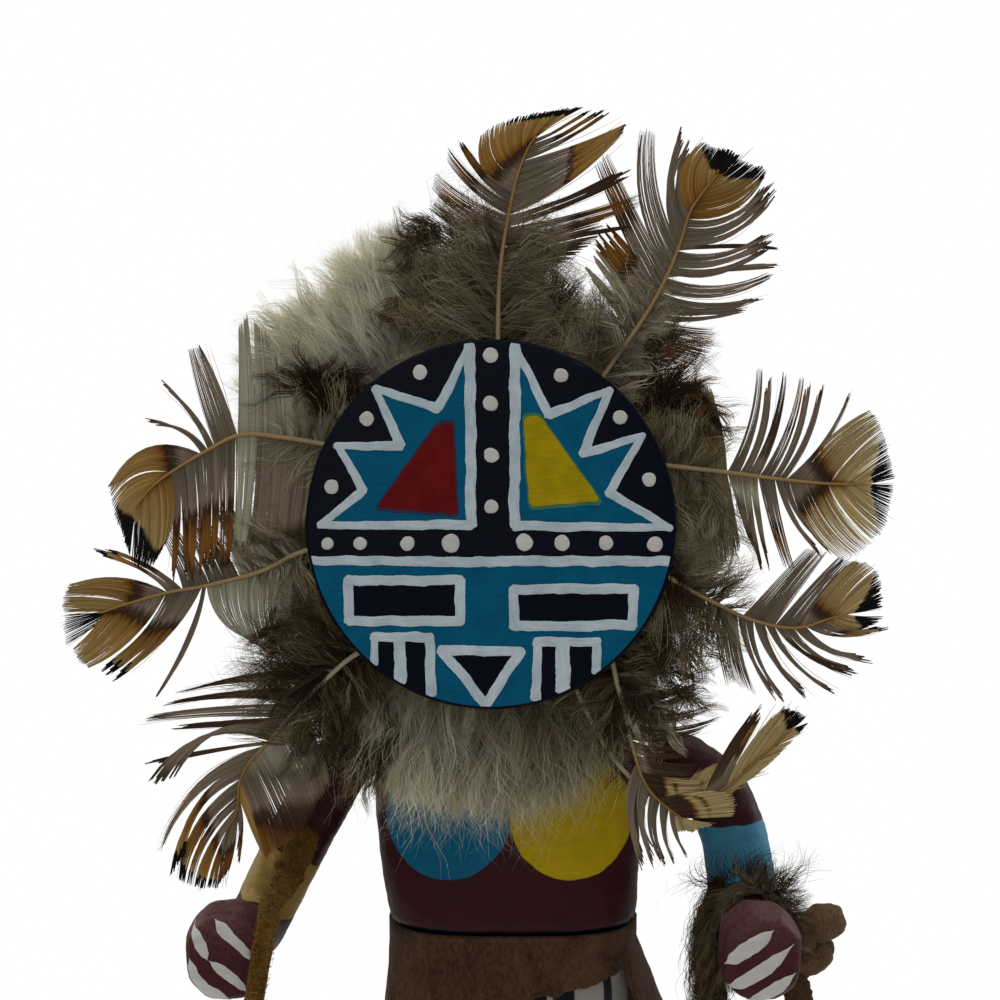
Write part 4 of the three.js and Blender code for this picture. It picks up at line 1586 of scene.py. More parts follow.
@dataclass
class Tufts:
    """The dark tufts of down and fur that stick out between the feathers."""

    tufts: tuple[Tuft, ...] = (
        Tuft(-35.0, 26.0, 172, 22, 15.5, 5, 0.96, 1.4, 0.7),
        Tuft(-34.5, 26.5, 108, 40, 11.5, 9, 0.96, 2.0, 1.0),
        Tuft(-31.0, 26.5, 35, 34, 12.0, 9, 0.94, 2.4, 1.0),
        Tuft(-33.5, 25.0, -95, 60, 11.0, 12, 0.9, 2.6, 1.3),
        Tuft(-32.0, 24.5, 90, 180, 6.5, 22, 0.95, 3.4, 2.0),
        Tuft(-27.0, 23.5, 0, 70, 8.5, 12, 0.86, 3.0, 1.6),
        Tuft(-13.0, 45.0, 140, 60, 10.0, 14, 0.74, 4.0, 3.0, each=12),
        Tuft(-10.0, 55.5, 165, 34, 13.0, 14, 0.8, 3.0, 1.8, each=14),
        Tuft(-15.5, 51.0, 150, 70, 8.0, 12, 0.78, 3.6, 3.0, each=10),
        Tuft(-17.0, 41.0, 180, 60, 8.0, 12, 0.76, 3.4, 2.8, each=10),
        Tuft(-13.0, 37.5, 120, 90, 9.0, 12, 0.66, 4.0, 2.6, each=14),
        Tuft(13.0, 41.0, 75, 50, 13.0, 16, 0.9, 3.4, 2.4),
        Tuft(20.0, 34.0, 60, 50, 12.0, 14, 0.62, 3.4, 2.6),
        Tuft(32.0, 34.0, 15, 40, 15.0, 14, 0.8, 3.6, 0.8, ruddy=True),
        Tuft(33.0, 24.0, 52, 32, 17.0, 26, 0.93, 4.6, 0.7, ruddy=True),
        Tuft(36.0, 24.0, 0, 50, 11.0, 18, 0.96, 4.0, 0.9, ruddy=True),
        Tuft(40.0, 22.0, -60, 40, 13.0, 14, 0.93, 3.0, 0.9, ruddy=True),
        Tuft(34.0, -10.0, -70, 50, 12.0, 16, 0.88, 4.0, 1.4),
        Tuft(33.0, -22.0, -75, 50, 13.0, 14, 0.9, 4.0, 1.2),
        Tuft(-36.0, -28.0, 235, 45, 18.0, 22, 0.93, 5.0, 1.2),
        Tuft(-29.0, -38.0, 240, 45, 17.0, 22, 0.93, 5.0, 1.2),
        Tuft(-40.0, -20.0, 225, 50, 12.0, 14, 0.9, 4.0, 1.4),
        Tuft(-22.0, -46.0, 245, 40, 13.0, 16, 0.75, 4.0, 1.0),
        Tuft(27.0, -34.0, -75, 40, 15.0, 18, 0.88, 4.0, 1.0),
        Tuft(33.0, -36.0, -60, 60, 11.0, 34, 0.3, 4.2, 0.6, y=2.2),
        Tuft(39.5, 4.0, -72, 45, 12.0, 20, 0.64, 5.0, 0.8, y=-0.6),
        Tuft(44.5, 0.0, -75, 45, 12.0, 18, 0.6, 5.0, 0.8, y=-0.6),
        Tuft(41.0, -22.0, -60, 50, 13.0, 16, 0.64, 5.0, 1.0, y=-0.6),
        Tuft(37.0, -31.0, -50, 60, 12.0, 18, 0.8, 5.0, 1.2, y=-0.6),
        Tuft(-14.0, 38.5, 125, 60, 7.0, 16, 0.55, 2.6, 0.5, y=-0.6, ruddy=True),
        Tuft(-37.0, 37.0, 134, 26, 17.0, 9, -0.1, 4.0, 0.7, y=4.5, each=9),
        Tuft(-33.0, 41.5, 124, 22, 15.0, 6, -0.1, 4.0, 0.7, y=4.5, each=9),
        Tuft(-36.0, -40.0, 235, 50, 13.0, 20, 0.7, 5.0, 0.9, y=-1.0),
    )

    def build(self) -> list[Piece]:
        """Makes the tufts.

        Returns:
            The pieces.
        """
        rng = np.random.default_rng(640)
        drafts = {False: Draft(), True: Draft()}
        for tuft in self.tufts:
            count = tuft.locks * tuft.each
            lock = np.arange(count) // tuft.each
            way = np.sort(rng.uniform(-tuft.fan, tuft.fan, tuft.locks))[lock] + tuft.heading
            way = np.radians(way + rng.normal(0, 5, count))
            place = rng.normal(0, tuft.radius * 0.45, (2, tuft.locks))[:, lock] + rng.normal(0, 0.5, (2, count))
            roots = FACE.world(tuft.x + place[0], tuft.y + rng.normal(0, 0.5, count), tuft.z + place[1]) / MM
            ways = FACE.way(np.cos(way), rng.normal(-0.12, 0.15, tuft.locks)[lock], np.sin(way))
            faces = np.broadcast_to(FACE.way(0.0, -1.0, 0.0), roots.shape)
            lengths = tuft.length * rng.uniform(0.55, 1.1, tuft.locks)[lock] * rng.uniform(0.7, 1.0, count)
            tints = tuft.tint + rng.normal(0, 0.04, count)
            hair = Hair(0.13, 7, 0.1, 0.3, 0.45, tuft.curl, 0.004, 0.75, tuft.each, 0.12)
            hair.grow(drafts[tuft.ruddy], roots, ways, faces, lengths, tints, rng)
        pieces = []
        for ruddy, draft in drafts.items():
            finish = RUDDY_DOWN if ruddy else RABBIT
            pieces.append(draft.piece("ruddy_tufts" if ruddy else "dark_tufts", [finish.material()]))
        return pieces


# --- feathers ---


class Marking(Enum):
    """How the first and last barb of a blade are marked: pairs of a share out from the quill and a tone.

    Tones run from soft olive (0) and grey (0.15) through dusk (0.28), dark brown (0.4) and rust (0.48)
    to tan (0.6), straw (0.8) and black (above 0.88).
    """

    OLIVE = (((0, 0.0), (0.6, 0.02), (1, 0.05)),) * 2
    PANEL = (((0, 0.075), (0.3, 0.09), (1, 0.095)),) * 2
    VANE = (((0, 0.0), (0.5, 0.03), (0.8, 0.16), (1, 0.24)),) * 2
    RUSTVANE = (
        ((0, 0.03), (0.5, 0.07), (0.8, 0.16), (1, 0.3)),
        ((0, 0.16), (0.3, 0.24), (0.6, 0.46), (1, 0.53)),
    )
    GREY = (((0, 0.17), (0.4, 0.2), (0.8, 0.24), (1, 0.36)),) * 2
    DUSKY = (((0, 0.17), (0.35, 0.24), (0.8, 0.29), (1, 0.38)),) * 2
    DARK = (((0, 0.2), (0.2, 0.35), (1, 0.42)),) * 2
    SHADE = (((0, 0.02), (0.35, 0.14), (0.7, 0.34), (1, 0.4)),) * 2
    RUSTY = (((0, 0.17), (0.4, 0.26), (0.58, 0.46), (0.85, 0.52), (1, 0.4)),) * 2
    TIPPED = (((0, 0.17), (0.36, 0.32), (0.5, 0.52), (0.8, 0.6), (0.86, 0.93), (1, 1)),) * 2
    TANNED = (((0, 0.17), (0.4, 0.22), (0.5, 0.37), (0.55, 0.6), (0.9, 0.8), (1, 0.9)),) * 2
    CRESCENT = (
        ((0, 0.17), (0.22, 0.32), (0.36, 0.42), (0.44, 0.54), (0.84, 0.66), (1, 0.9)),
        ((0, 0.38), (0.04, 0.42), (0.08, 0.46), (0.14, 0.55), (0.84, 0.7), (1, 0.9)),
    )
    HOOKED = (
        ((0, 0.24), (0.24, 0.32), (0.3, 0.4), (0.44, 0.46), (0.54, 0.58), (0.9, 0.68), (1, 0.74)),
        ((0, 0.4), (0.05, 0.42), (0.1, 0.45), (0.16, 0.5), (0.24, 0.66), (0.58, 0.8), (0.66, 1.2)),
    )
    EDGED = (
        ((0, 0.44), (0.1, 0.55), (0.5, 0.62), (0.84, 0.72), (0.95, 0.93)),
        ((0, 0.56), (0.1, 0.62), (0.2, 0.8), (0.28, 0.95), (1, 1)),
    )
    WEDGE = (((0, 0.7), (0.08, 0.9), (1, 0.97)),) * 2
    STRAW = (((0, 0.6), (0.2, 0.7), (0.9, 0.78), (1, 0.84)),) * 2
    BARRED = (
        ((0, 0.36), (0.42, 0.42), (0.46, 0.66), (0.55, 0.6), (0.58, 0.42), (0.64, 0.7), (0.9, 0.74), (1, 0.45)),
        ((0, 0.4), (0.3, 0.43), (0.36, 0.68), (0.48, 0.66), (0.52, 0.42), (0.58, 0.72), (0.92, 0.76), (1, 0.7)),
    )


@dataclass(frozen=True)
class Blade:
    """Barbs that cling together, between two shares of the quill and out to the line of their ends.

    tips are in the face's plane; one alone makes a pointed blade. bow is how far the first and last barb
    bend to the left of their own way, as a share of their length. airy is how much of the width between
    two barbs their ends fill.
    """

    start: float
    stop: float
    tips: tuple[tuple[float, float], ...]
    marking: Marking = Marking.GREY
    bow: tuple[float, float] = (0.0, 0.0)
    airy: float = 0.5


@dataclass(frozen=True)
class Quill:
    """A quill's line in the face's plane."""

    knots: tuple[tuple[float, float], ...]

    def at(self, shares: Array) -> tuple[Array, float]:
        """Follows the quill.

        Args:
            shares: Places along it, from 0 at the root to 1 at the tip.

        Returns:
            The places, and the quill's length.
        """
        line = spline(np.array(self.knots), 300)
        walked = np.concatenate([[0], np.cumsum(np.linalg.norm(np.diff(line, axis=0), axis=1))])
        places = np.asarray(shares) * walked[-1]
        return np.stack([np.interp(places, walked, line[:, i]) for i in range(2)], -1), float(walked[-1])


@dataclass(frozen=True)
class Plumage:
    """A pheasant feather's colours, from its soft base to its black tip."""

    name: str
    pale: float = 0.0

    def material(self) -> Material:
        """Makes the barbs' finish.

        Returns:
            The material.
        """
        shade = Shade(self.name, Specular_IOR_Level=0.05, Roughness=0.6)
        tone, light = shade.strand()
        tan, straw, warm = (0.25, 0.125, 0.024), (0.29, 0.18, 0.06), (0.4, 0.31, 0.14)
        tan, straw = (tuple(a + (b - a) * self.pale for a, b in zip(c, warm)) for c in (tan, straw))
        stops = (
            (0.0, (0.14, 0.115, 0.06)),
            (0.05, (0.19, 0.165, 0.095)),
            (0.09, (0.32, 0.3, 0.215)),
            (0.13, (0.24, 0.215, 0.15)),
            (0.17, (0.125, 0.1, 0.066)),
            (0.24, (0.165, 0.125, 0.088)),
            (0.3, (0.2, 0.14, 0.1)),
            (0.36, (0.06, 0.036, 0.021)),
            (0.43, (0.04, 0.019, 0.009)),
            (0.49, (0.17, 0.07, 0.013)),
            (0.6, tan),
            (0.8, straw),
            (0.865, straw),
            (0.89, (0.008, 0.006, 0.006)),
            (1.0, (0.006, 0.005, 0.005)),
        )
        shade.set(Base_Color=shade.scale(shade.ramp(tone, stops), 1.5 - light))
        return shade.material


@dataclass
class Feather:
    """One pheasant feather, laid out blade by blade in the face's plane, in millimetres."""

    number: int
    quill: Quill
    layer: int
    blades: tuple[Blade, ...]
    pale: float = 0.0
    down_to: float = 0.42
    down_width: tuple[float, float] = (14.0, 14.0)
    down_tint: float = 0.6
    down_curl: float = 1.2
    down_count: int = 1300
    curl: float = 4.0
    gap: float = 0.17
    forward: float = 0.0
    nearest: float = 0.9
    layer_step: float = 1.6
    curl_from: float = 39.0
    curl_over: float = 50.0
    forward_until: float = 52.0
    forward_over: float = 14.0
    barb_steps: int = 10
    barbs_to_a_loose_one: int = 9
    loose_reach: float = 0.85
    narrowest: float = 0.05
    widest: float = 0.7

    def lift(self, flat: Array) -> Array:
        """Finds how deep the feather lies, which curls forward towards its tip.

        Args:
            flat: Places in the face's plane.

        Returns:
            How far behind the face's back each place lies.
        """
        out = np.hypot(flat[..., 0], flat[..., 1])
        near = self.forward * np.clip((self.forward_until - out) / self.forward_over, 0, 1)
        curl = self.curl * (np.maximum(0, out - self.curl_from) / self.curl_over) ** 2
        return self.nearest + self.layer * self.layer_step - curl - near

    def lay(self, draft: Draft, blade: Blade, number: int, rng: np.random.Generator) -> None:
        """Lays one blade, barb by barb.

        Args:
            draft: The draft to fill.
            blade: The blade.
            number: The blade's number.
            rng: The feather's own draw.
        """
        length = self.quill.at(0.0)[1]
        span = blade.stop - blade.start
        count = max(3, round(span * length / self.gap))
        k = (np.arange(count) + 0.5) / count
        loose = count // self.barbs_to_a_loose_one
        k = np.concatenate([k, rng.uniform(0, 1, loose)])
        root = self.quill.at(blade.start + span * k)[0]
        knots = np.array(blade.tips, dtype=float)
        tips = np.stack([np.interp(k, np.linspace(0, 1, len(knots)), knots[:, i]) for i in range(2)], -1)
        reach = np.linalg.norm(tips - root, axis=1, keepdims=True)
        ways = (tips - root) / reach
        left = np.stack([-ways[:, 1], ways[:, 0]], -1)
        if len(knots) == 1:
            split = max(1, round(span * length / 1.5))
            part = np.minimum((k * split).astype(int), split - 1)
            inner = 2 * (k * split - part) - 1
            middles = self.quill.at(blade.start + span * (np.arange(split) + 0.5) / split)[0]
            fanned = (middles - middles.mean(axis=0)) * 0.8 + rng.normal(0, 0.4, (split, 2))
            pointed = 0.16 * np.abs(inner) ** 1.4 + rng.uniform(0, 0.05, len(k))
            aside = rng.normal(0, 0.12, len(k)) - 0.2 * inner
            tips = tips + fanned[part] - ways * reach * pointed[:, None] + left * aside[:, None]
        else:
            tips = tips + ways * reach * rng.normal(0, 0.014, (len(k), 1)) + rng.normal(0, 0.07, (len(k), 2))
        tips[count:] += rng.normal(0, self.loose_reach, (loose, 2))
        count += loose
        bow = np.interp(k, [0, 1], blade.bow)[:, None] + rng.normal(0, 0.006, (count, 1))
        knee = (root + tips) / 2 + left * reach * bow
        s = np.linspace(0, 1, self.barb_steps)[None, :, None]
        flat = (1 - s) ** 2 * root[:, None] + 2 * s * (1 - s) * knee[:, None] + s**2 * tips[:, None]
        spacing = np.linalg.norm(np.gradient(flat, axis=0), axis=-1)
        spacing[count - loose - 1 :] = 0.08
        s = s[..., 0]
        fill = 1.4 + (blade.airy * 1.22 - 1.4) * s**1.1
        fill = fill * rng.uniform(0.85, 1.2, (count, 1))
        widths = np.clip(spacing * fill, self.narrowest, self.widest) * (1 - 0.6 * s**9) * MM
        wave = 0.45 * math.sin(number * 2.4 + self.number) * s**1.3
        sway = (wave + 0.04 * np.sin(np.arange(count) * 2.7)[:, None]) + 0.4 * s**2
        paths = FACE.world(flat[..., 0], self.lift(flat) + sway, flat[..., 1])
        across = unit(np.cross(unit(np.gradient(paths, axis=1)), FACE.way(0.0, 1.0, 0.0)))
        first, last = (np.array(marks, dtype=float) for marks in blade.marking.value)
        tones = np.empty((count, self.barb_steps))
        for i in range(count):
            marks = first + (last - first) * k[i]
            places = np.clip(marks[:, 0] + rng.normal(0, 0.018), 0, None)
            places[0], places[-1] = 0.0, max(1.0, places[-2] + 0.02)
            tones[i] = np.interp(s[0], places, marks[:, 1])
        light = 0.5 + 0.19 * rng.normal(size=count) + 0.08 * math.sin(number * 1.7)
        low = np.clip(light, 0.03, 0.95)[:, None] - 0.01
        tones = np.clip(tones, 0.005, 0.995)
        near, far, high = tones[:, :-1], tones[:, 1:], low + 0.02
        far = np.where(np.abs(far - near) < 0.003, near + 0.003, far)
        corners = mapped((near, low), (near, high), (far, high), (far, low))
        ribbons(draft, paths, widths, across, corners)

    def shaft(self, draft: Draft) -> None:
        """Adds the tapered quill.

        Args:
            draft: The draft to fill.
        """
        steps, sides = 48, 6
        share = np.linspace(0, 1, steps)
        flat, _ = self.quill.at(share)
        ahead = unit(np.gradient(flat, axis=0))
        radius = (0.55 * (1 - share**1.4 * 0.7))[:, None]
        angle = circle(sides)
        px = flat[:, :1] - radius * np.cos(angle) * ahead[:, 1:]
        pz = flat[:, 1:] + radius * np.cos(angle) * ahead[:, :1]
        py = self.lift(flat)[:, None] - 0.3 + radius * np.sin(angle)
        v = np.clip(share, 0.02, 0.97)
        near, far = np.repeat(v[:-1], sides), np.repeat(v[1:], sides)
        corners = mapped((near, 0.8), (near, 0.95), (far, 0.95), (far, 0.8))
        draft.add(FACE.world(px, py, pz), sheet_faces(steps, sides, tube=True), corners, 1)

    def down(self, rng: np.random.Generator) -> Piece:
        """Makes the soft, loose barbs of the feather's lower part.

        Args:
            rng: The feather's own draw.

        Returns:
            The down.
        """
        draft = Draft()
        for side, width in zip((1, -1), self.down_width):
            count = round(self.down_count * 0.5)
            share = np.sort(rng.beta(1.15, 1.3, count)) * self.down_to + 0.01
            flat, _ = self.quill.at(share)
            ahead = self.quill.at(share + 0.02)[0] - flat
            heading = np.arctan2(ahead[:, 1], ahead[:, 0])
            full = smooth(share, -0.12, 0.08) * (1 - 0.5 * smooth(share, self.down_to - 0.14, self.down_to))
            way = heading + side * np.radians(80 - 26 * share / self.down_to + rng.normal(0, 4, count))
            loops = 1 + 0.28 * min(1.0, self.down_curl / 3)
            lengths = width * full * loops * rng.uniform(0.7, 1.15, count)
            ways = FACE.way(np.cos(way), rng.normal(0.03, 0.05, count), np.sin(way))
            roots = FACE.world(flat[:, 0], self.lift(flat) + rng.uniform(-0.4, 0.5, count), flat[:, 1]) / MM
            far = rng.normal(0, 0.04, count) + 0.1 * ripple(joined(share * 40, 0.0), 2.0, self.number)
            faces = np.broadcast_to(FACE.way(0.0, -1.0, 0.0), roots.shape)
            hair = Hair(0.125, 7, 0.05, 0.28, 0.5, self.down_curl * 1.3, 0.001, 0.2, 9, 0.3, 2.0, 0.1)
            hair.grow(draft, roots, ways, faces, lengths, self.down_tint + far, rng)
        piece = draft.piece(f"down_{self.number}", [RABBIT.material()])
        return piece

    def plumage(self) -> Material:
        """Returns the barbs' material."""
        return Plumage(f"plumage_{self.number}", self.pale).material()

    def build(self) -> list[Piece]:
        """Makes the feather and its down.

        Returns:
            The pieces.
        """
        rng = np.random.default_rng(300 + self.number)
        draft = Draft()
        for number, blade in enumerate(self.blades):
            self.lay(draft, blade, number, rng)
        self.shaft(draft)
        node = f"feather_{self.number}"
        quill = PALE_QUILL if self.number > 6 else QUILL
        piece = draft.piece("pheasant_" + node, [self.plumage(), quill.material()])
        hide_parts(node)
        return [piece, self.down(rng)]


QUILL = Strands("quill", ((0.0, (0.36, 0.3, 0.19)), (0.45, (0.33, 0.22, 0.1)), (1.0, (0.3, 0.16, 0.045))), 1.0, 0.45)
PALE_QUILL = Strands(
    "pale_quill",
    ((0.0, (0.4, 0.36, 0.26)), (0.45, (0.32, 0.27, 0.17)), (0.75, (0.24, 0.15, 0.05)), (1.0, (0.24, 0.13, 0.035))),
    1.0,
    0.45,
)

M = Marking


@dataclass
class FeatherFan:
    """The nine feathers, clockwise from the top."""

    feathers: tuple[Feather, ...] = (
        Feather(
            1,
            Quill(((1.6, 28.0), (2.0, 47.0), (3.7, 59.2), (5.4, 66.8), (7.5, 72.3), (9.2, 74.8))),
            0,
            (
                Blade(0.38, 0.47, ((-18.6, 54.0), (-17.8, 59.2), (-12.0, 61.0)), M.DARK, (-0.08, 0.05), 0.16),
                Blade(0.42, 0.5, ((-10.0, 58.2), (-8.6, 61.6)), M.DARK, (0.05, 0.08), 0.4),
                Blade(0.5, 0.58, ((-11.6, 60.8), (-9.4, 64.0)), M.SHADE, (0.06, 0.1), 0.5),
                Blade(0.58, 0.66, ((-11.1, 64.7), (-10.2, 67.9)), M.RUSTY, (0.14, 0.1)),
                Blade(0.66, 0.71, ((-8.3, 69.8), (-7.7, 72.7)), M.RUSTY, (0.13, 0.12)),
                Blade(0.71, 0.76, ((-5.9, 73.8),), M.RUSTY, (0.13, 0.13)),
                Blade(
                    0.76, 1.0, ((-1.8, 74.6), (0.4, 76.6), (5.2, 78.4), (12.0, 79.6), (18.5, 80.3)),
                    M.HOOKED, (0.46, 0.05), 0.95,
                ),
                Blade(0.955, 0.985, ((20.8, 80.3),), M.TIPPED, (-0.05, -0.05)),
                Blade(0.92, 0.955, ((22.5, 80.1),), M.TIPPED, (-0.06, -0.05)),
                Blade(0.885, 0.92, ((24.0, 79.3),), M.RUSTY, (-0.07, -0.06)),
                Blade(0.66, 0.885, ((25.2, 74.6), (26.3, 76.7), (26.0, 76.8)), M.TANNED, (-0.1, -0.04), 1.0),
                Blade(0.61, 0.66, ((28.4, 67.9),), M.DARK, (-0.05, -0.05)),
                Blade(0.53, 0.61, ((29.0, 60.9), (29.2, 63.9)), M.RUSTY, (-0.03, -0.06), 0.3),
                Blade(0.5, 0.53, ((28.6, 57.5),), M.DARK, (0.03, 0.0), 0.5),
                Blade(0.42, 0.52, ((15.0, 50.5), (21.5, 55.5), (22.0, 60.0)), M.SHADE, (0.1, 0.0), 0.5),
            ),
            down_tint=0.62, down_curl=3.6, down_width=(22.0, 21.0), down_to=0.56, down_count=2100,
        ),
        Feather(
            2,
            Quill(
                ((19.1, 20.5), (22.1, 27.9), (30.1, 39.5), (34.6, 47.6),
                 (37.3, 54.3), (39.1, 60.1), (41.7, 64.1), (44.4, 67.3))
            ),
            1,
            (
                Blade(0.34, 0.43, ((19.4, 51.6),), M.PANEL, (-0.04, -0.04), 0.9),
                Blade(0.43, 0.53, ((21.6, 57.2),), M.RUSTY, (-0.05, -0.05), 0.8),
                Blade(0.5, 0.61, ((20.7, 69.1), (23.4, 71.5)), M.RUSTY, (0.04, 0.02), 0.3),
                Blade(0.61, 0.71, ((29.5, 75.8), (31.0, 75.8), (32.4, 75.3)), M.DUSKY, (0.2, 0.15), 0.32),
                Blade(0.71, 0.78, ((37.3, 75.8),), M.GREY, (0.22, 0.2)),
                Blade(0.78, 0.83, ((38.9, 74.2),), M.GREY, (0.24, 0.24)),
                Blade(0.83, 1.0, ((41.3, 73.5), (43.1, 72.9), (44.6, 72.2), (46.0, 71.5)), M.EDGED, (0.44, 0.02), 1.0),
                Blade(0.965, 1.0, ((44.4, 72.5), (46.8, 72.2), (49.4, 70.7)), M.WEDGE, (0.05, -0.05), 1.1),
                Blade(0.81, 1.0, ((53.4, 66.8), (53.8, 68.4), (50.4, 69.6), (47.2, 71.4)), M.EDGED, (-0.34, 0.0), 1.0),
                Blade(0.78, 0.81, ((55.4, 65.9),), M.DUSKY, (-0.27, -0.27)),
                Blade(0.71, 0.78, ((55.8, 64.1),), M.DUSKY, (-0.28, -0.26)),
                Blade(0.69, 0.71, ((57.6, 53.4),), M.DARK, (0.05, 0.05)),
                Blade(0.6, 0.69, ((56.3, 55.0),), M.DUSKY, (-0.2, -0.18)),
                Blade(0.585, 0.6, ((57.4, 49.6),), M.GREY, (0.02, 0.02)),
                Blade(0.53, 0.585, ((54.5, 47.2), (54.7, 48.5)), M.DUSKY, (-0.22, -0.2)),
                Blade(0.47, 0.53, ((53.4, 43.6),), M.GREY, (-0.18, -0.16)),
                Blade(0.42, 0.47, ((50.0, 41.0),), M.GREY, (-0.12, -0.1), 0.4),
                Blade(0.3, 0.43, ((41.0, 30.0), (43.6, 33.5), (44.0, 38.0)), M.SHADE, (0.03, -0.1), 0.4),
            ),
            down_tint=0.42, down_curl=3.4, down_width=(19.0, 13.0), down_to=0.46, down_count=1650,
        ),
        Feather(
            3,
            Quill(((27.0, 11.2), (34.6, 10.8), (46.2, 9.5), (57.8, 8.0), (65.6, 7.3), (73.3, 7.1))),
            0,
            (
                Blade(
                    0.16, 0.42, ((36.5, 27.0), (40.0, 27.5), (43.2, 25.8), (44.6, 21.5)),
                    M.OLIVE, (-0.02, -0.06), 1.0,
                ),
                Blade(0.42, 0.47, ((52.2, 29.7), (53.4, 29.3)), M.GREY, (-0.13, -0.12), 0.4),
                Blade(0.47, 0.505, ((55.2, 28.8),), M.GREY, (-0.13, -0.12), 0.5),
                Blade(0.505, 0.555, ((57.0, 28.6), (57.9, 28.0)), M.DARK, (-0.12, -0.12), 0.4),
                Blade(0.555, 0.605, ((60.4, 27.9), (61.2, 27.4)), M.RUSTY, (-0.12, -0.12), 0.45),
                Blade(0.605, 0.635, ((62.9, 27.4),), M.GREY, (-0.12, -0.12), 0.5),
                Blade(0.635, 0.665, ((65.2, 27.2),), M.DUSKY, (-0.12, -0.12), 0.5),
                Blade(0.665, 0.7, ((69.9, 24.9), (70.3, 24.3)), M.DUSKY, (-0.14, -0.13), 0.6),
                Blade(0.7, 0.85, ((73.7, 21.3), (75.1, 20.1), (76.2, 17.8)), M.CRESCENT, (0.15, 0.12), 1.0),
                Blade(0.85, 1.0, ((76.4, 17.4), (77.6, 12.9), (78.7, 8.2)), M.EDGED, (0.1, 0.0), 0.85),
                Blade(0.84, 1.0, ((74.4, -3.6), (77.2, -0.6), (77.9, 3.2), (78.7, 7.4)), M.EDGED, (-0.12, 0.0), 0.7),
                Blade(0.68, 0.84, ((68.4, -7.6), (71.8, -6.2), (74.2, -4.0)), M.CRESCENT, (-0.2, -0.12), 0.55),
                Blade(0.62, 0.68, ((66.0, -6.6),), M.DUSKY, (-0.12, -0.14), 0.6),
                Blade(0.55, 0.62, ((57.6, -9.0), (59.8, -9.4)), M.RUSTY, (-0.05, -0.05), 0.4),
                Blade(0.48, 0.55, ((54.4, -9.9),), M.SHADE, (-0.04, -0.04), 0.6),
                Blade(0.42, 0.48, ((50.5, -3.0), (52.6, -7.2)), M.SHADE, (-0.03, -0.03), 0.5),
                Blade(0.16, 0.42, ((36.0, -14.0), (42.0, -12.0), (49.2, -5.0)), M.VANE, (0.03, 0.0), 0.7),
            ),
            pale=0.8, down_tint=0.6, down_curl=0.9, down_width=(14.0, 15.0), down_to=0.34,
        ),
        Feather(
            4,
            Quill(
                ((27.6, -4.4), (35.4, -11.2), (44.9, -16.4), (51.4, -19.4),
                 (57.8, -20.9), (62.1, -20.7), (66.4, -19.2), (69.8, -18.3))
            ),
            2,
            (
                Blade(0.56, 0.7, ((62.1, -5.4), (66.4, -6.3)), M.GREY, (0.0, 0.02), 0.4),
                Blade(0.7, 0.8, ((68.6, -7.1), (70.7, -8.0)), M.DUSKY, (0.03, 0.05), 0.6),
                Blade(0.8, 0.93, ((71.0, -8.0), (73.3, -8.2), (75.4, -9.2)), M.CRESCENT, (0.12, 0.1), 1.0),
                Blade(0.93, 1.0, ((75.6, -9.4), (76.6, -12.5), (76.8, -17.5)), M.EDGED, (0.1, 0.0), 0.95),
                Blade(0.9, 1.0, ((71.5, -21.6), (75.2, -20.4), (77.4, -18.6)), M.EDGED, (-0.18, -0.05), 0.9),
                Blade(0.83, 0.9, ((77.6, -21.3),), M.TIPPED, (-0.2, -0.2)),
                Blade(0.78, 0.83, ((74.0, -28.4),), M.DUSKY, (-0.18, -0.2), 0.6),
                Blade(0.74, 0.78, ((72.2, -30.2),), M.DUSKY, (-0.17, -0.18), 0.6),
                Blade(0.7, 0.74, ((70.7, -31.3),), M.DARK, (-0.17, -0.17), 0.6),
                Blade(0.66, 0.7, ((67.7, -33.9),), M.DUSKY, (-0.16, -0.16), 0.6),
                Blade(0.61, 0.66, ((62.6, -35.2),), M.DUSKY, (-0.15, -0.15)),
                Blade(0.575, 0.61, ((57.4, -36.2),), M.GREY, (-0.14, -0.14), 0.5),
                Blade(0.54, 0.575, ((56.1, -36.0),), M.GREY, (-0.12, -0.12), 0.5),
                Blade(0.42, 0.54, ((46.6, -32.5), (48.6, -31.0), (52.5, -34.5)), M.SHADE, (-0.02, -0.1), 0.3),
            ),
            pale=0.6, forward=3.4, down_tint=0.64, down_curl=1.0, down_width=(13.0, 15.0), down_to=0.5,
        ),
        Feather(
            5,
            Quill(
                ((-24.7, 13.1), (-32.0, 14.9), (-40.2, 16.3), (-48.4, 16.8),
                 (-54.8, 13.8), (-61.6, 9.7), (-65.7, 6.5), (-68.9, 2.4))
            ),
            0,
            (
                Blade(0.15, 0.32, ((-33.8, 21.0), (-37.4, 27.0), (-41.4, 33.4)), M.PANEL, (0.0, -0.02), 1.1),
                Blade(0.32, 0.43, ((-42.6, 35.4), (-46.0, 39.0)), M.PANEL, (-0.02, -0.02), 1.0),
                Blade(0.43, 0.5, ((-47.0, 40.0), (-48.9, 37.6)), M.PANEL, (-0.02, -0.01), 0.9),
                Blade(0.5, 0.6, ((-56.3, 33.8), (-57.4, 33.6), (-58.6, 33.2)), M.DUSKY, (-0.05, 0.05), 0.6),
                Blade(0.6, 0.63, ((-63.4, 28.2),), M.GREY, (-0.1, -0.1), 0.6),
                Blade(0.63, 0.66, ((-68.2, 20.2),), M.DUSKY, (-0.2, -0.2)),
                Blade(0.66, 0.8, ((-73.2, 8.0), (-73.6, 6.4), (-73.4, 4.6)), M.CRESCENT, (-0.46, -0.36), 1.0),
                Blade(
                    0.8, 1.0, ((-73.3, 4.2), (-72.6, 0.8), (-71.2, -2.8), (-69.8, -7.0)),
                    M.EDGED, (-0.34, -0.02), 1.0,
                ),
                Blade(
                    0.8, 1.0, ((-62.6, -3.4), (-65.2, -8.3), (-68.0, -9.3), (-69.4, -7.8)),
                    M.EDGED, (0.16, 0.0), 1.0,
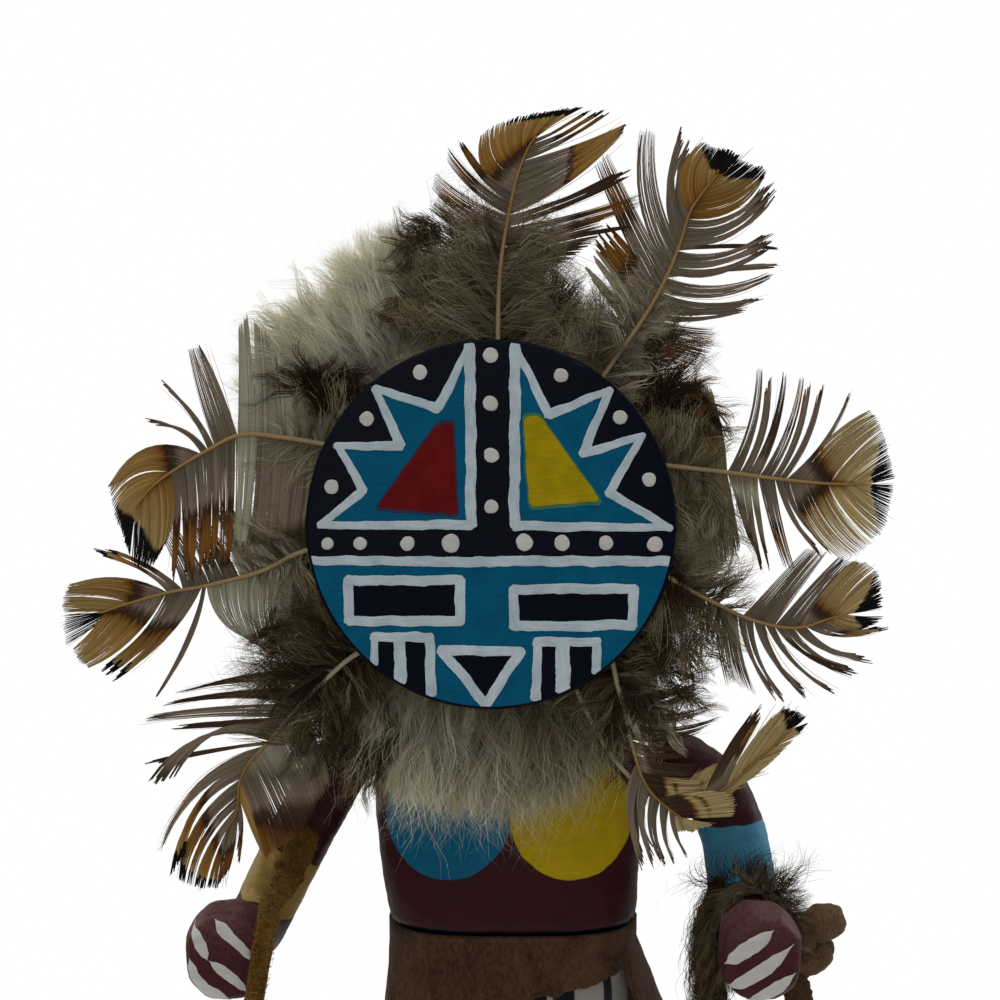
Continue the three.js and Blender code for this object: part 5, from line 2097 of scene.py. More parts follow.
                ),
                Blade(0.73, 0.8, ((-60.4, -11.0),), M.RUSTY, (0.05, 0.05), 0.7),
                Blade(0.66, 0.73, ((-57.0, -11.4),), M.RUSTY, (0.04, 0.04), 0.6),
                Blade(0.59, 0.66, ((-54.3, -10.9),), M.RUSTY, (0.03, 0.03), 0.6),
                Blade(0.51, 0.59, ((-50.9, -8.4), (-52.6, -9.6)), M.RUSTY, (0.02, 0.02), 0.7),
                Blade(0.42, 0.51, ((-47.5, -4.4), (-49.8, -3.0)), M.PANEL, (0.02, 0.02), 1.0),
                Blade(0.15, 0.42, ((-34.4, -1.6), (-40.5, -3.6), (-46.8, -4.6)), M.DUSKY, (0.0, 0.02), 1.1),
            ),
            pale=0.2, down_tint=0.5, down_curl=0.5, down_width=(12.0, 15.0), down_to=0.3, down_count=900,
        ),
        Feather(
            6,
            Quill(
                ((-27.4, -4.5), (-36.5, -6.0), (-44.8, -9.9), (-55.0, -12.6),
                 (-62.9, -14.0), (-70.7, -16.2), (-75.6, -17.9))
            ),
            1,
            (
                Blade(0.2, 0.45, ((-40.5, 0.5), (-48.0, 2.0), (-54.0, 2.4)), M.PANEL, (0.02, -0.03), 0.9),
                Blade(0.45, 0.57, ((-56.6, 2.0), (-60.5, 0.6)), M.GREY, (-0.03, -0.05), 0.4),
                Blade(0.57, 0.675, ((-61.6, -0.8), (-64.6, -2.6)), M.DUSKY, (-0.05, -0.08), 0.5),
                Blade(0.675, 0.735, ((-76.8, -5.0),), M.TIPPED, (-0.12, -0.13)),
                Blade(0.735, 0.88, ((-81.2, -12.2), (-82.0, -13.2), (-82.5, -14.6)), M.CRESCENT, (-0.2, -0.1), 1.0),
                Blade(0.88, 0.99, ((-82.6, -14.8), (-82.9, -16.4), (-82.5, -17.8)), M.STRAW, (-0.08, -0.02), 1.0),
                Blade(0.9, 1.0, ((-82.3, -24.2), (-82.7, -21.0), (-82.6, -18.0)), M.WEDGE, (0.04, 0.0), 0.6),
                Blade(0.74, 0.98, ((-77.6, -28.4), (-79.4, -27.2), (-81.0, -24.8)), M.CRESCENT, (0.18, 0.06), 0.95),
                Blade(0.66, 0.74, ((-75.4, -30.1),), M.TIPPED, (0.12, 0.14), 0.7),
                Blade(0.6, 0.66, ((-73.0, -31.6),), M.TIPPED, (0.12, 0.13), 0.7),
                Blade(0.583, 0.6, ((-65.5, -34.4),), M.GREY, (0.1, 0.1)),
                Blade(0.2, 0.583, ((-37.5, -27.5), (-43.3, -26.0), (-48.4, -22.4)), M.PANEL, (-0.14, -0.28), 0.75),
            ),
            pale=0.2, down_tint=0.6, down_curl=1.2, down_width=(10.0, 15.0), down_to=0.4, down_count=1000,
        ),
        Feather(
            7,
            Quill(
                ((-18.0, -21.4), (-26.2, -26.1), (-30.6, -29.7), (-37.2, -36.2), (-43.3, -43.3),
                 (-46.8, -47.2), (-48.6, -51.2), (-49.0, -56.4), (-51.0, -60.0))
            ),
            0,
            (
                Blade(0.26, 0.36, ((-56.0, -32.3), (-60.6, -33.4)), M.DARK, (-0.1, -0.1), 0.25),
                Blade(0.36, 0.45, ((-61.5, -35.0), (-63.4, -36.0)), M.DARK, (-0.05, -0.09), 0.3),
                Blade(0.45, 0.52, ((-65.3, -37.6), (-67.0, -39.1)), M.DUSKY, (-0.04, -0.06), 0.45),
                Blade(0.52, 0.57, ((-62.0, -40.4),), M.DARK, (-0.03, -0.05), 0.4),
                Blade(0.57, 0.63, ((-66.4, -50.7),), M.DUSKY, (-0.34, -0.36), 0.6),
                Blade(0.63, 0.65, ((-67.6, -47.4),), M.DARK, (-0.02, -0.02)),
                Blade(0.65, 0.74, ((-62.6, -60.6), (-63.5, -63.9)), M.DUSKY, (-0.26, -0.24), 0.3),
                Blade(0.74, 0.8, ((-61.5, -67.6),), M.TIPPED, (-0.28, -0.26), 0.7),
                Blade(0.8, 0.865, ((-60.0, -69.2), (-58.8, -69.8)), M.TIPPED, (-0.24, -0.22), 1.0),
                Blade(0.865, 0.905, ((-58.4, -70.0), (-57.2, -70.4)), M.TIPPED, (-0.2, -0.2), 1.0),
                Blade(0.905, 0.955, ((-56.9, -70.6), (-55.0, -70.9)), M.TIPPED, (-0.15, -0.12), 1.2),
                Blade(0.955, 1.0, ((-54.8, -71.0), (-52.4, -71.0)), M.TIPPED, (-0.08, -0.02), 1.2),
                Blade(0.9, 0.99, ((-50.4, -67.4), (-52.4, -70.4)), M.RUSTY, (0.08, 0.0), 1.0),
                Blade(0.86, 0.93, ((-49.0, -66.1),), M.RUSTY, (0.1, 0.1), 0.6),
                Blade(0.81, 0.86, ((-42.2, -67.6),), M.STRAW, (-0.04, -0.04), 0.6),
                Blade(
                    0.46, 0.81, ((-31.0, -50.6), (-33.6, -55.0), (-35.4, -58.6), (-39.0, -62.4), (-43.6, -65.4)),
                    M.RUSTVANE, (0.08, 0.03), 0.9,
                ),
            ),
            down_tint=0.72, down_curl=1.0, down_width=(12.0, 19.0), down_to=0.52, down_count=2000,
        ),
        Feather(
            8,
            Quill(
                ((22.1, -17.2), (24.7, -30.7), (26.3, -36.8), (27.9, -43.7),
                 (29.9, -50.2), (32.8, -54.2), (37.6, -57.9))
            ),
            0,
            (
                Blade(0.36, 0.44, ((42.1, -32.4),), M.DARK, (-0.2, -0.18), 0.3),
                Blade(0.44, 0.5, ((44.5, -35.2), (43.0, -37.0)), M.DARK, (-0.18, -0.16), 0.25),
                Blade(0.5, 0.58, ((45.3, -38.0), (40.5, -41.5)), M.DARK, (-0.16, -0.14), 0.25),
                Blade(0.58, 0.64, ((39.6, -44.9),), M.DARK, (-0.15, -0.14), 0.3),
                Blade(0.64, 0.72, ((40.5, -47.3), (39.6, -49.8)), M.DARK, (-0.12, -0.1), 0.4),
                Blade(0.72, 0.86, ((41.6, -50.6), (40.5, -53.8)), M.BARRED, (-0.08, -0.06), 0.6),
                Blade(0.68, 0.75, ((29.5, -67.0),), M.DUSKY, (-0.2, -0.2), 0.4),
                Blade(0.75, 0.82, ((32.0, -67.6),), M.DUSKY, (-0.2, -0.2), 0.4),
                Blade(0.82, 0.88, ((34.4, -67.2),), M.DUSKY, (-0.18, -0.18), 0.45),
                Blade(0.88, 0.93, ((36.6, -66.8),), M.GREY, (-0.16, -0.16), 0.45),
                Blade(0.93, 0.97, ((38.8, -66.0),), M.GREY, (-0.14, -0.14), 0.5),
                Blade(
                    0.86, 1.0, ((43.6, -52.6), (47.4, -53.0), (47.8, -55.0), (47.4, -57.6)),
                    M.BARRED, (0.02, 0.0), 1.0,
                ),
                Blade(0.96, 1.0, ((36.6, -60.6), (40.0, -60.2), (44.6, -58.6)), M.STRAW, (-0.1, -0.02), 1.0),
            ),
            pale=1.0, down_tint=0.74, down_curl=1.0, down_width=(9.0, 12.0), down_to=0.6, down_count=1200,
        ),
        Feather(
            9,
            Quill(((13.1, -24.7), (24.0, -46.0), (36.0, -56.0), (44.0, -53.5), (52.0, -47.0), (59.0, -40.5))),
            1,
            (
                Blade(0.56, 0.66, ((41.0, -49.0), (46.6, -46.4)), M.BARRED, (0.04, 0.04), 0.9),
                Blade(0.58, 0.7, ((44.6, -55.4), (49.0, -51.6)), M.BARRED, (-0.03, -0.03), 0.9),
                Blade(0.66, 0.71, ((53.0, -36.8),), M.DARK, (0.06, 0.06), 0.6),
                Blade(0.71, 0.75, ((54.0, -37.8),), M.RUSTY, (0.05, 0.05), 0.5),
                Blade(0.74, 0.8, ((57.1, -36.6),), M.STRAW, (0.06, 0.06), 0.7),
                Blade(0.78, 1.0, ((57.3, -36.7), (59.8, -37.1), (61.9, -38.3)), M.EDGED, (0.06, 0.0), 1.0),
                Blade(0.7, 0.92, ((51.0, -50.4), (55.4, -46.6), (59.4, -42.6)), M.STRAW, (-0.04, 0.0), 1.0),
                Blade(0.92, 1.0, ((60.4, -41.6), (62.3, -39.4)), M.EDGED, (-0.02, 0.0), 1.0),
            ),
            pale=0.8, down_tint=0.8, down_width=(6.0, 6.0), down_to=0.5, down_count=300, gap=0.14,
        ),
    )

    def build(self) -> list[Piece]:
        """Makes every feather, and returns their pieces."""
        return [piece for feather in self.feathers for piece in feather.build()]


# --- dress ---


@dataclass
class Garment:
    """A sleeve of cloth or suede round the hips, given as its distance out from them."""

    name: str
    node: str
    slot: str
    thickness: float
    rows: int
    around: int
    flat: tuple[float, float]

    # height, half width, half depth and middle of the hips
    hips: tuple[tuple[float, float, float, float], ...] = ((79.0, 22.0, 16.0, 0.8), (117.8, 22.4, 16.0, 1.1))
    squareness: float = 3.2
    crinkle: float = 0.1

    def hip(self, angle: Array, z: Array, out: Array) -> Array:
        """Returns points so far out from the hips.

        Args:
            angle: Counted from the front, towards the figure's left.
            z: Heights.
            out: Distances.

        Returns:
            The points, in millimetres.
        """
        (low, a0, b0, x0), (high, a1, b1, x1) = self.hips
        share = np.clip((z - low) / (high - low), 0, 1)
        a, b, x = a0 + (a1 - a0) * share, b0 + (b1 - b0) * share, x0 + (x1 - x0) * share
        power = 2 / self.squareness
        sx, cy = np.sin(angle), np.cos(angle)
        wide = np.sign(sx) * np.abs(sx) ** power
        deep = np.sign(cy) * np.abs(cy) ** power
        return joined(x + (a + out) * wide, -(b + out) * deep, z)

    def shape(self, angle: Array, down: Array) -> tuple[Array, Array]:
        """Returns the height and distance out at each angle and share of the way down."""
        raise NotImplementedError

    def material(self) -> Material:
        """Returns the garment's material."""
        raise NotImplementedError

    def even(self) -> Array:
        """Spaces angles evenly round the hips rather than bunched at their corners.

        Returns:
            The angles.
        """
        fine = np.linspace(0, 2 * math.pi, 4000)
        ring = self.hip(fine, np.full_like(fine, 100.0), np.zeros_like(fine))
        walked = np.concatenate([[0], np.cumsum(np.linalg.norm(np.diff(ring, axis=0), axis=1))])
        return np.interp(np.linspace(0, walked[-1], self.around, endpoint=False), walked, fine)

    def build(self) -> Piece:
        """Makes the garment as a thin closed sleeve.

        Returns:
            The piece.
        """
        angle = self.even()[None, :]
        down = np.linspace(0, 1, self.rows)[:, None]
        z, out = self.shape(angle, down)
        inner = self.hip(angle, z, out)
        crinkle = self.crinkle * ripple(inner, 4.5, 61)
        outer = self.hip(angle, z, out + self.thickness + crinkle)
        rounding = self.hip(angle, z[-1:] - 0.35 * self.thickness, out[-1:] + self.thickness / 2)
        top = self.hip(angle, z[:1], out[:1] + self.thickness / 2)
        loop = np.concatenate([inner, rounding, outer[::-1], top])
        draft = Draft()
        draft.add(loop * MM, sheet_faces(len(loop), self.around, ring=True, tube=True)[:, ::-1])
        piece = draft.piece(self.name, [self.material()])
        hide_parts(self.node)
        return piece


@dataclass
class Kilt(Garment):
    """The white cotton kilt with its black stripes."""

    top: float = 112.0
    hem: float = 70.0
    name: str = "cotton_kilt"
    node: str = "kilt"
    slot: str = "kilt_cloth"
    thickness: float = 1.0
    rows: int = 28
    around: int = 220
    flat: tuple[float, float] = (0.152, 0.042)

    def shape(self, angle: Array, down: Array) -> tuple[Array, Array]:
        """Returns the kilt's heights and distances out."""
        fold = 0.5 * np.cos(angle * 9) * down
        return self.top + (self.hem - self.top) * down + 0 * angle, 0.5 + 2.4 * down**2 + fold + 0.5 * down

    def material(self) -> Material:
        """Makes plain-woven white cotton with painted black stripes.

        Returns:
            The material.
        """
        shade = Shade("kilt_cotton", Specular_IOR_Level=0.2, Sheen_Weight=0.1)
        x, y, z = shade.place()
        wobble = (shade.noise(6, detail=1) - 0.5) * 0.8
        place = x + wobble + (z - 90.0) * 0.03
        front = y.rise(0.0, -6.0)
        stripes = abs(place - 7.4).rise(6.6, 6.3)
        for line in (4.8, 8.9):
            stripes = stripes * (1 - abs(place - line).rise(0.75, 0.5))
        stripes = stripes.most(abs(place + 12.0).rise(4.2, 3.9) * (1 - abs(place + 12.0).rise(0.75, 0.5)))
        stripes = stripes.most(abs(place - 20.6).rise(1.0, 0.75)) * front
        hem = abs(z - 73.5).rise(1.2, 0.9)
        thread = 2 * math.pi / 0.42
        weave = (z * thread).sine() * ((x + y) * thread).sine()
        soil = shade.noise(8, detail=4)
        cloth = shade.mix(soil, (0.2, 0.185, 0.155), (0.42, 0.4, 0.365))
        colour = shade.mix(stripes.most(hem), cloth, Pigment.NIGHT.value)
        shade.set(Base_Color=colour, Roughness=soil * 0.1 + 0.8)
        shade.bump(weave * 0.5 + 0.5, 0.08)
        return shade.material


@dataclass
class SuedeWrap(Garment):
    """The brown suede belt and skirt over the kilt, open in front."""

    waist: float = 117.5
    name: str = "suede_skirt"
    node: str = "suede_wrap"
    slot: str = "brown_suede"
    thickness: float = 1.4
    rows: int = 28
    around: int = 260
    flat: tuple[float, float] = (0.17, 0.028)
    # angle from the front in degrees, and the hem's height there
    hemline: tuple[tuple[float, float], ...] = (
        (-180, 80),
        (-110, 82),
        (-72, 90),
        (-34, 98),
        (0, 105.4),
        (30, 108.2),
        (54, 110.6),
        (63, 85),
        (100, 82),
        (180, 80),
    )

    def shape(self, angle: Array, down: Array) -> tuple[Array, Array]:
        """Hangs the wrap from the waist to its slanting hem.

        Args:
            angle: Angles round the hips.
            down: Shares of the way down.

        Returns:
            The heights and the distances out.
        """
        degrees = np.mod(np.degrees(angle) + 180, 360) - 180
        places, heights = np.array(self.hemline).T
        ragged = 0.35 * ripple(joined(degrees / 3, 0.0), 2.2, 66)
        hem = np.interp(degrees, places, heights) + ragged
        z = self.waist + (hem - self.waist) * down
        flare = np.maximum(0, (113.0 - z) / 10)
        wave = 0.4 * np.cos(angle * 7 + 1) * np.minimum(1, flare)
        spread = 2.3 + 1.3 * np.sin(angle)
        return z, 1.8 + spread * flare**1.1 + wave

    def material(self) -> Material:
        """Returns brown suede."""
        return BROWN_SUEDE.material()


BROWN_SUEDE = Suede("brown_suede", light=(0.105, 0.052, 0.026), dark=(0.022, 0.01, 0.0048))
TAN_SUEDE = Suede("tan_suede", light=(0.25, 0.135, 0.024), dark=(0.045, 0.02, 0.003), grain_mm=0.45)
TAN_NAP = Strands("tan_nap", ((0.0, (0.36, 0.21, 0.05)), (0.5, (0.2, 0.1, 0.018)), (1.0, (0.04, 0.018, 0.003))))


@dataclass
class Strip:
    """A flat hanging strip of suede, with rough edges."""

    name: str
    node: str
    slot: str
    finish: Suede
    route: tuple[Point, ...]
    widths: tuple[float, ...]
    facing: Point
    thickness: float = 1.2
    seed: int = 5
    fuzz: Strands | None = None

    def surface(self, rows: int = 90, columns: int = 14) -> tuple[Array, Array, Array]:
        """Lays out the middle of the strip.

        Args:
            rows: The points along it.
            columns: The points across it.

        Returns:
            The points, the outward directions, and the places across from -1 to 1.
        """
        knots = np.array(self.route)
        fine = spline(knots, rows)
        along = unit(np.gradient(fine, axis=0))
        front = np.broadcast_to(unit(np.array(self.facing)), along.shape)
        across = unit(np.cross(along, front))
        out = unit(np.cross(across, along))
        half = np.interp(np.linspace(0, 1, rows), np.linspace(0, 1, len(self.widths)), self.widths) / 2
        place = np.linspace(0, 1, rows) * 60
        left = half * (1 + 0.09 * ripple(joined(place, 0.0), 5, self.seed))
        right = half * (1 + 0.09 * ripple(joined(place, 0.0), 5, self.seed + 1))
        spread = np.linspace(-1, 1, columns)
        reach = np.where(spread[None] < 0, left[:, None] * spread, right[:, None] * spread)
        points = fine[:, None] + across[:, None] * reach[..., None]
        warp = 0.25 * ripple(points, 6, self.seed + 2) - 0.35 * spread[None] ** 2
        points += out[:, None] * warp[..., None]
        return points, np.broadcast_to(out[:, None], points.shape), spread

    def build(self) -> list[Piece]:
        """Makes the strip in place of its CAD node, with its nap.

        Returns:
            The pieces.
        """
        piece = self.strap()
        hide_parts(self.node)
        return [piece] if self.fuzz is None else [piece, self.nap(self.fuzz)]

    def strap(self) -> Piece:
        """Makes the strip itself.

        Returns:
            The piece.
        """
        points, out, spread = self.surface()
        half = 0.5 * self.thickness * np.sqrt(1 - 0.75 * spread**2)[None, :, None]
        rows, columns = points.shape[:2]
        loop = np.concatenate([points + out * half, (points - out * half)[:, ::-1]], axis=1)
        draft = Draft()
        draft.add(loop * MM, sheet_faces(rows, columns * 2, tube=True))
        for end, flip in ((0, 1), (rows - 1, -1)):
            ring = loop[end]
            count = len(ring)
            pairs = np.array([[i, i + 1, count - 2 - i, count - 1 - i] for i in range(columns - 1)])
            draft.add(ring * MM, pairs[:, ::flip])
        piece = draft.piece(self.name, [self.finish.material()])
        return piece

    def nap(self, finish: Strands, count: int = 3600) -> Piece:
        """Grows the short nap of a rough strip, and returns it.

        Args:
            finish: The nap's finish.
            count: The number of its hairs.

        Returns:
            The nap.
        """
        rng = np.random.default_rng(self.seed)
        points, out, spread = self.surface(120, 15)
        i, j = np.sort(rng.integers(0, 120, count)), rng.integers(0, 15, count)
        normal = out[i, j]
        edges = unit(np.gradient(points, axis=1)[i, j]) * (spread[j] ** 3)[:, None]
        roots = points[i, j] + normal * 0.45 * self.thickness + rng.normal(0, 0.2, (count, 3))
        ways = normal * 0.7 + edges * 1.2 + rng.normal(0, 0.55, (count, 3))
        draft = Draft()
        tints = 0.45 + 0.22 * ripple(roots, 3.0, 8) + rng.normal(0, 0.12, count)
        hair = Hair(0.12, 4, 0.3, 0.5, 0.8, 1.4, lock_size=6)
        hair.grow(draft, roots, ways, normal, rng.uniform(0.7, 2.1, count), tints, rng)
        piece = draft.piece(self.name + "_nap", [finish.material()])
        return piece


@dataclass
class ArmThong(Strip):
    """The rough tan thong that hangs from the left forearm."""

    name: str = "rough_thong"
    node: str = "arm_thong"
    slot: str = "tan_suede"
    finish: Suede = TAN_SUEDE
    route: tuple[Point, ...] = (
        (-40.9, -10.6, 137.2),
        (-43.4, -16.6, 131.4),
        (-44.2, -26.0, 130.0),
        (-45.2, -38.0, 130.0),
        (-46.0, -46.2, 125.0),
        (-47.4, -47.0, 116.0),
        (-49.0, -46.8, 106.0),
        (-50.2, -46.0, 94.0),
    )
    widths: tuple[float, ...] = (5.6, 6.4, 5.4, 4.2, 3.8, 3.6, 3.6, 3.6)
    facing: Point = (0.2, -0.7, 0.7)
    fuzz: Strands | None = TAN_NAP


def spline(knots: Array, count: int) -> Array:
    """Returns a smooth path through knots.

    Args:
        knots: The points to pass.
        count: The number of points on the path.

    Returns:
        The path.
    """
    padded = np.vstack([2 * knots[0] - knots[1], knots, 2 * knots[-1] - knots[-2]])
    place = np.linspace(0, len(knots) - 1, count)
    i = np.minimum(place.astype(int), len(knots) - 2)
    t = (place - i)[:, None]
    p0, p1, p2, p3 = (padded[i + k] for k in range(4))
    return 0.5 * (2 * p1 + (p2 - p0) * t + (2 * p0 - 5 * p1 + 4 * p2 - p3) * t**2 + (3 * (p1 - p2) + p3 - p0) * t**3)


@dataclass
class CuffTie:
    """The knotted suede lace on the fur cuff: two soft bows, a knot and a hanging tail."""

    # each knot's middle, its half sizes and its lean in degrees
    bows: tuple[tuple[Point, Point, float], ...] = (
        ((63.2, -15.0, 119.4), (5.2, 4.2, 4.0), -18.0),
        ((62.0, -14.0, 112.2), (4.6, 4.0, 3.6), -38.0),
        ((60.2, -15.5, 116.2), (2.2, 2.8, 3.2), 0.0),
    )
    tail_route: tuple[Point, ...] = (
        (59.4, -14.5, 113.0),
        (58.6, -15.0, 106.0),
        (60.2, -15.5, 97.0),
        (61.4, -15.0, 86.0),
    )
    tail_widths: tuple[float, ...] = (3.5, 5.6, 6.4, 5.4)
    rows: int = 34
    columns: int = 48

    def build(self) -> list[Piece]:
        """Makes the bows and the tail.

        Returns:
            The pieces.
        """
        draft = Draft()
        for number, (centre, size, turn) in enumerate(self.bows):
            rows, columns = self.rows, self.columns
            up = np.linspace(0.02, math.pi - 0.02, rows)[:, None]
            angle = circle(columns)[None, :]
            ball = joined(np.sin(up) * np.cos(angle), np.sin(up) * np.sin(angle), np.cos(up))
            crease = 1 - 0.24 * np.exp(-((ball[..., 1] + 0.25 * ripple(ball, 2.2, number)) ** 2) / 0.02)
            lump = 1 + 0.07 * ripple(ball, 1.3, 70 + number) + 0.03 * ripple(ball, 0.5, 80 + number)
            points = ball * np.array(size) * (crease * lump)[..., None]
            lean = math.radians(turn)
            x = points[..., 0] * math.cos(lean) + points[..., 2] * math.sin(lean)
            z = -points[..., 0] * math.sin(lean) + points[..., 2] * math.cos(lean)
            points = np.stack([x, points[..., 1], z], -1) + np.array(centre)
            draft.add(points * MM, sheet_faces(rows, columns, tube=True))
        bows = draft.piece("cuff_bows", [KNOT_SUEDE.material()])
        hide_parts("cuff_tie")
        look = ("cuff_tail", "cuff_tie", "brown_suede", BROWN_SUEDE)
        tail = Strip(*look, self.tail_route, self.tail_widths, (0.3, -1.0, 0.0), thickness=1.4, seed=9)
        return [bows, tail.strap()]


KNOT_SUEDE = Suede("knot_suede", light=(0.2, 0.12, 0.062), dark=(0.035, 0.018, 0.009), grain_mm=0.4)


@dataclass
class FurCuff:
    """The brown fur strip round the right wrist, with one end hanging on its inner side."""

    centre: Point = (48.6, -19.0, 120.2)
    radius: float = 7.6
    end_route: tuple[Point, ...] = (
        (42.6, -13.0, 128.0),
        (40.2, -17.0, 119.0),
        (40.8, -19.0, 106.0),
        (44.0, -19.0, 96.0),
    )
    end_widths: tuple[float, ...] = (1.4, 5.6, 6.0, 2.6)
    end_rows: int = 40
    end_columns: int = 8
    end_half_thickness: float = 0.7
    ring_hairs: int = 3700
    end_hairs: int = 3000
    wisp_hairs: int = 48
    # each curled wisp's x, z, heading in degrees and curl
    wisps: tuple[tuple[float, float, float, float], ...] = (
        (44.0, 129.0, 115, 2.6),
        (48.0, 130.0, 80, 3.0),
        (41.0, 128.0, 150, 2.4),
        (55.0, 128.0, 60, 1.2),
    )

    def end(self) -> tuple[Array, Array]:
        """Returns the hanging end's middle surface and its outward directions."""
        strip = Strip("cuff_end", "fur_cuff", "fur", BROWN_SUEDE, self.end_route, self.end_widths, (-0.5, -1.0, 0.0))
        return strip.surface(self.end_rows, self.end_columns)[:2]

    def hide(self) -> Piece:
        """Makes the strip's hide: a soft ring and the hanging end.

        Returns:
            The piece.
        """
        rows, columns = 16, 72
        turn = circle(rows)[:, None]
        angle = circle(columns)[None, :]
        radius = self.radius + 0.75 * np.cos(turn) + 0.25 * ripple(joined(angle, 0.0), 1.2, 9)
        x = self.centre[0] + radius * np.cos(angle)
        z = self.centre[2] + radius * np.sin(angle)
        y = self.centre[1] + 5.0 * np.sin(turn) + 0 * angle
        draft = Draft()
        draft.add(joined(x, y, z) * MM, sheet_faces(rows, columns, ring=True, tube=True))
        points, out = self.end()
        for side in (self.end_half_thickness, -self.end_half_thickness):
            faces = sheet_faces(self.end_rows, self.end_columns)
            draft.add((points + out * side) * MM, faces if side > 0 else faces[:, ::-1])
        piece = draft.piece("cuff_hide", [Suede("cuff_underfur", (0.1, 0.075, 0.045), (0.03, 0.02, 0.012)).material()])
        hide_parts("fur_cuff")
        return piece

    def hair(self) -> Piece:
        """Grows the cuff's hair.

        Returns:
            The piece.
        """
        rng = np.random.default_rng(71)
        draft = Draft()
        count = self.ring_hairs
        angle = np.sort(rng.uniform(0, 2 * math.pi, count))
        deep = rng.uniform(-1, 1, count)
        order = np.lexsort((angle, np.floor(deep * 3), np.floor(angle * 9)))
        angle, deep = angle[order], deep[order]
        normal = joined(np.cos(angle), 0.0, np.sin(angle))
        forward = np.array([0.0, -1.0, 0.0])
        roots = np.array(self.centre) + normal * (self.radius + 0.4) + forward * 4.6 * deep[:, None]
        lean = (0.15 + 0.75 * deep)[:, None]
        droop = np.array([0.0, 0.0, -1.0]) * np.where(np.cos(angle) < -0.2, 0.9, 0.25)[:, None]
        ways = normal * (0.75 - 0.45 * np.clip(deep, 0, 1))[:, None] + forward * lean + droop
        tints = 0.72 + 0.1 * ripple(roots, 4, 33) + rng.normal(0, 0.07, count)
        hair = Hair(0.125, 6, 0.2, 0.3, 0.6, 0.8, 0.004, 0.6, 16, 0.15)
        hair.grow(draft, roots, ways, normal, rng.uniform(4.5, 8.5, count), tints, rng)
        count = self.end_hairs
        points, out = self.end()
        i, j = np.sort(rng.integers(0, self.end_rows, count)), rng.integers(0, self.end_columns, count)
        side = rng.choice([-1.0, 1.0], count)[:, None]
        normal = out[i, j] * side
        roots = points[i, j] + normal * 0.6 + rng.normal(0, 0.35, (count, 3))
        edge = ((j - 3.5) / 3.5)[:, None] * np.array([0.8, -0.35, 0.0])
        ways = np.array([-0.12, -0.05, -1.0]) + normal * 0.35 + edge * 0.45
        hair = Hair(0.13, 7, 0.15, 0.34, 0.7, 0.9, 0.001, 0.5, 9, 0.12, shading=0.07)
        tints = 0.8 + rng.normal(0, 0.08, count)
        hair.grow(draft, roots, ways, normal, rng.uniform(6, 15, count), tints, rng)
        each = self.wisp_hairs
        for x, z, heading, curl in self.wisps:
            way = np.radians(heading + rng.normal(0, 14, each))
            place = joined(x + rng.normal(0, 1.6, each), -18.0, z + rng.normal(0, 0.5, each))
            ways = joined(np.cos(way), -0.35, np.sin(way))
            faces = np.broadcast_to(forward, ways.shape)
            Hair(0.09, 12, 0.1, 0.4, 0.3, curl, 0.002, 0.3, 4, 0.2).grow(
                draft, place, ways, faces, rng.uniform(7, 13, each), np.full(each, 0.95), rng
            )
        piece = draft.piece("cuff_fur", [RABBIT.material()])
        return piece

    def build(self) -> list[Piece]:
        """Makes the hide and its hair, and returns them."""
        return [self.hide(), self.hair()]


# --- the studio ---


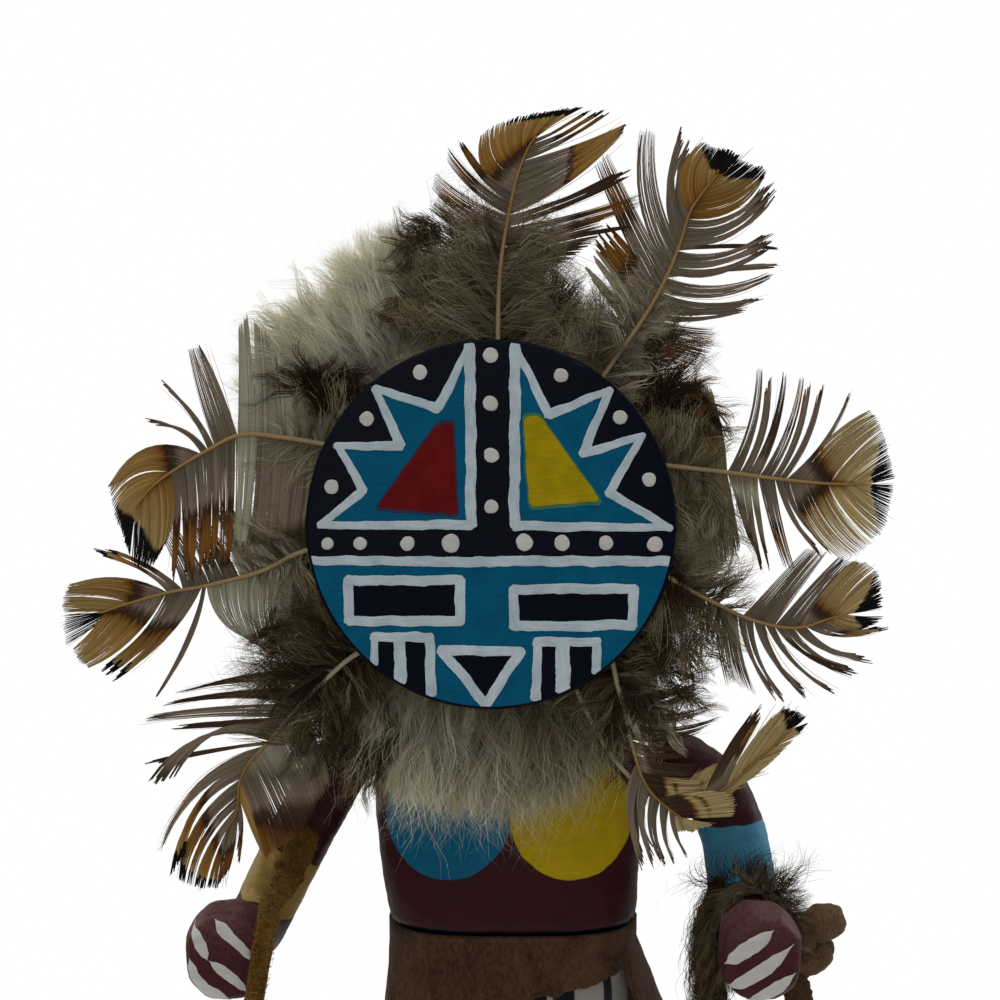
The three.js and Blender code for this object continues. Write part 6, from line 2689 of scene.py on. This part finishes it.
@dataclass
class Studio:
    """A pale floor, soft lights, a white surround and the camera."""

    floor_radius: float = 0.25
    camera_at: Point = (-0.0016, -0.4476, 0.2514)
    camera_down: float = 6.1
    field: float = 25.6
    ambient: float = 0.3
    aim: Point = (0.0, 0.0, 0.19)
    # each light's name, place, side and power
    lights: tuple[tuple[str, Point, float, float], ...] = (
        ("overhead", (0.0, 0.12, 0.95), 0.9, 5.0),
        ("left_rim", (-0.75, 0.35, 0.45), 0.6, 2.6),
        ("right_rim", (0.75, 0.35, 0.4), 0.6, 2.2),
        ("front_fill", (-0.25, -0.95, 0.55), 0.8, 2.0),
    )

    def floor(self) -> None:
        """Lays the pale floor."""
        angle = circle(96)
        rings = np.array([0.001, 0.3, 0.6, 1.0]) * self.floor_radius
        points = joined(np.outer(rings, np.cos(angle)), np.outer(rings, np.sin(angle)), 0.0)
        mesh = bpy.data.meshes.new("floor")
        mesh.from_pydata(points.reshape(-1, 3).tolist(), [], sheet_faces(4, 96, tube=True).tolist())
        floor = bpy.data.objects.new("floor", mesh)
        shade = Shade("floor_paper", Specular_IOR_Level=0.1)
        speck = shade.noise(40, detail=2)
        shade.set(Base_Color=shade.mix(speck, (0.86, 0.86, 0.855), (0.92, 0.92, 0.915)), Roughness=speck * 0.1 + 0.8)
        mesh.materials.append(shade.material)
        bpy.context.scene.collection.objects.link(floor)

    def lamp(self, name: str, at: Point, size: float, power: float) -> None:
        """Hangs one soft area light.

        Args:
            name: The light's name.
            at: Its place.
            size: The side of its square.
            power: Its power in watts.
        """
        data = bpy.data.lights.new(name, "AREA")
        data.shape, data.size, data.energy = "SQUARE", size, power
        lamp = bpy.data.objects.new(name, data)
        lamp.location = at
        lamp.rotation_euler = (Vector(self.aim) - Vector(at)).to_track_quat("-Z", "Y").to_euler()
        bpy.context.scene.collection.objects.link(lamp)

    def surround(self) -> None:
        """Makes the surround white to look at and dimmer as a light."""
        world = bpy.data.worlds.new("surround")
        world.use_nodes = True
        tree = world.node_tree
        tree.nodes.clear()
        output, seen, shone = (tree.nodes.new("ShaderNode" + k) for k in ("OutputWorld", "Background", "Background"))
        blend, path = tree.nodes.new("ShaderNodeMixShader"), tree.nodes.new("ShaderNodeLightPath")
        shone.inputs[1].default_value, seen.inputs[1].default_value = self.ambient, 1.0
        shone.inputs[0].default_value = seen.inputs[0].default_value = (1.0, 1.0, 1.0, 1.0)
        tree.links.new(path.outputs["Is Camera Ray"], blend.inputs[0])
        tree.links.new(shone.outputs[0], blend.inputs[1])
        tree.links.new(seen.outputs[0], blend.inputs[2])
        tree.links.new(blend.outputs[0], output.inputs[0])
        bpy.context.scene.world = world

    def camera(self) -> None:
        """Sets the camera."""
        data = bpy.data.cameras.new("camera")
        data.sensor_width = 36.0
        data.lens = 18.0 / math.tan(math.radians(self.field / 2))
        data.clip_start, data.clip_end = 0.01, 20.0
        camera = bpy.data.objects.new("camera", data)
        camera.location = self.camera_at
        camera.rotation_euler = (math.radians(90 - self.camera_down), 0.0, 0.0)
        bpy.context.scene.collection.objects.link(camera)
        bpy.context.scene.camera = camera

    def build(self) -> None:
        """Sets up the studio."""
        self.floor()
        for light in self.lights:
            self.lamp(*light)
        self.surround()
        self.camera()
        view = bpy.context.scene.view_settings
        view.view_transform, view.look = "Standard", "None"


# --- the whole doll ---


def main() -> None:
    """Builds the studio and the doll."""
    logging.basicConfig(level=logging.INFO, format="%(name)s: %(message)s")
    Studio().build()
    dress = (Kilt(), SuedeWrap(), ArmThong(), FurCuff(), CuffTie())
    parts = (Base(), Figure(), SunFace(), FurRuff(), Tufts(), FeatherFan(), *dress)
    total = 0
    for part in parts:
        made = part.build()
        for piece in made if isinstance(made, list) else [made]:
            faces = sum(len(p.vertices) - 2 for p in piece.data.polygons)
            total += faces
            LOG.info("%s: %d triangles", piece.name, faces)
    LOG.info("all: %d triangles", total)


if __name__ == "__main__":
    main()
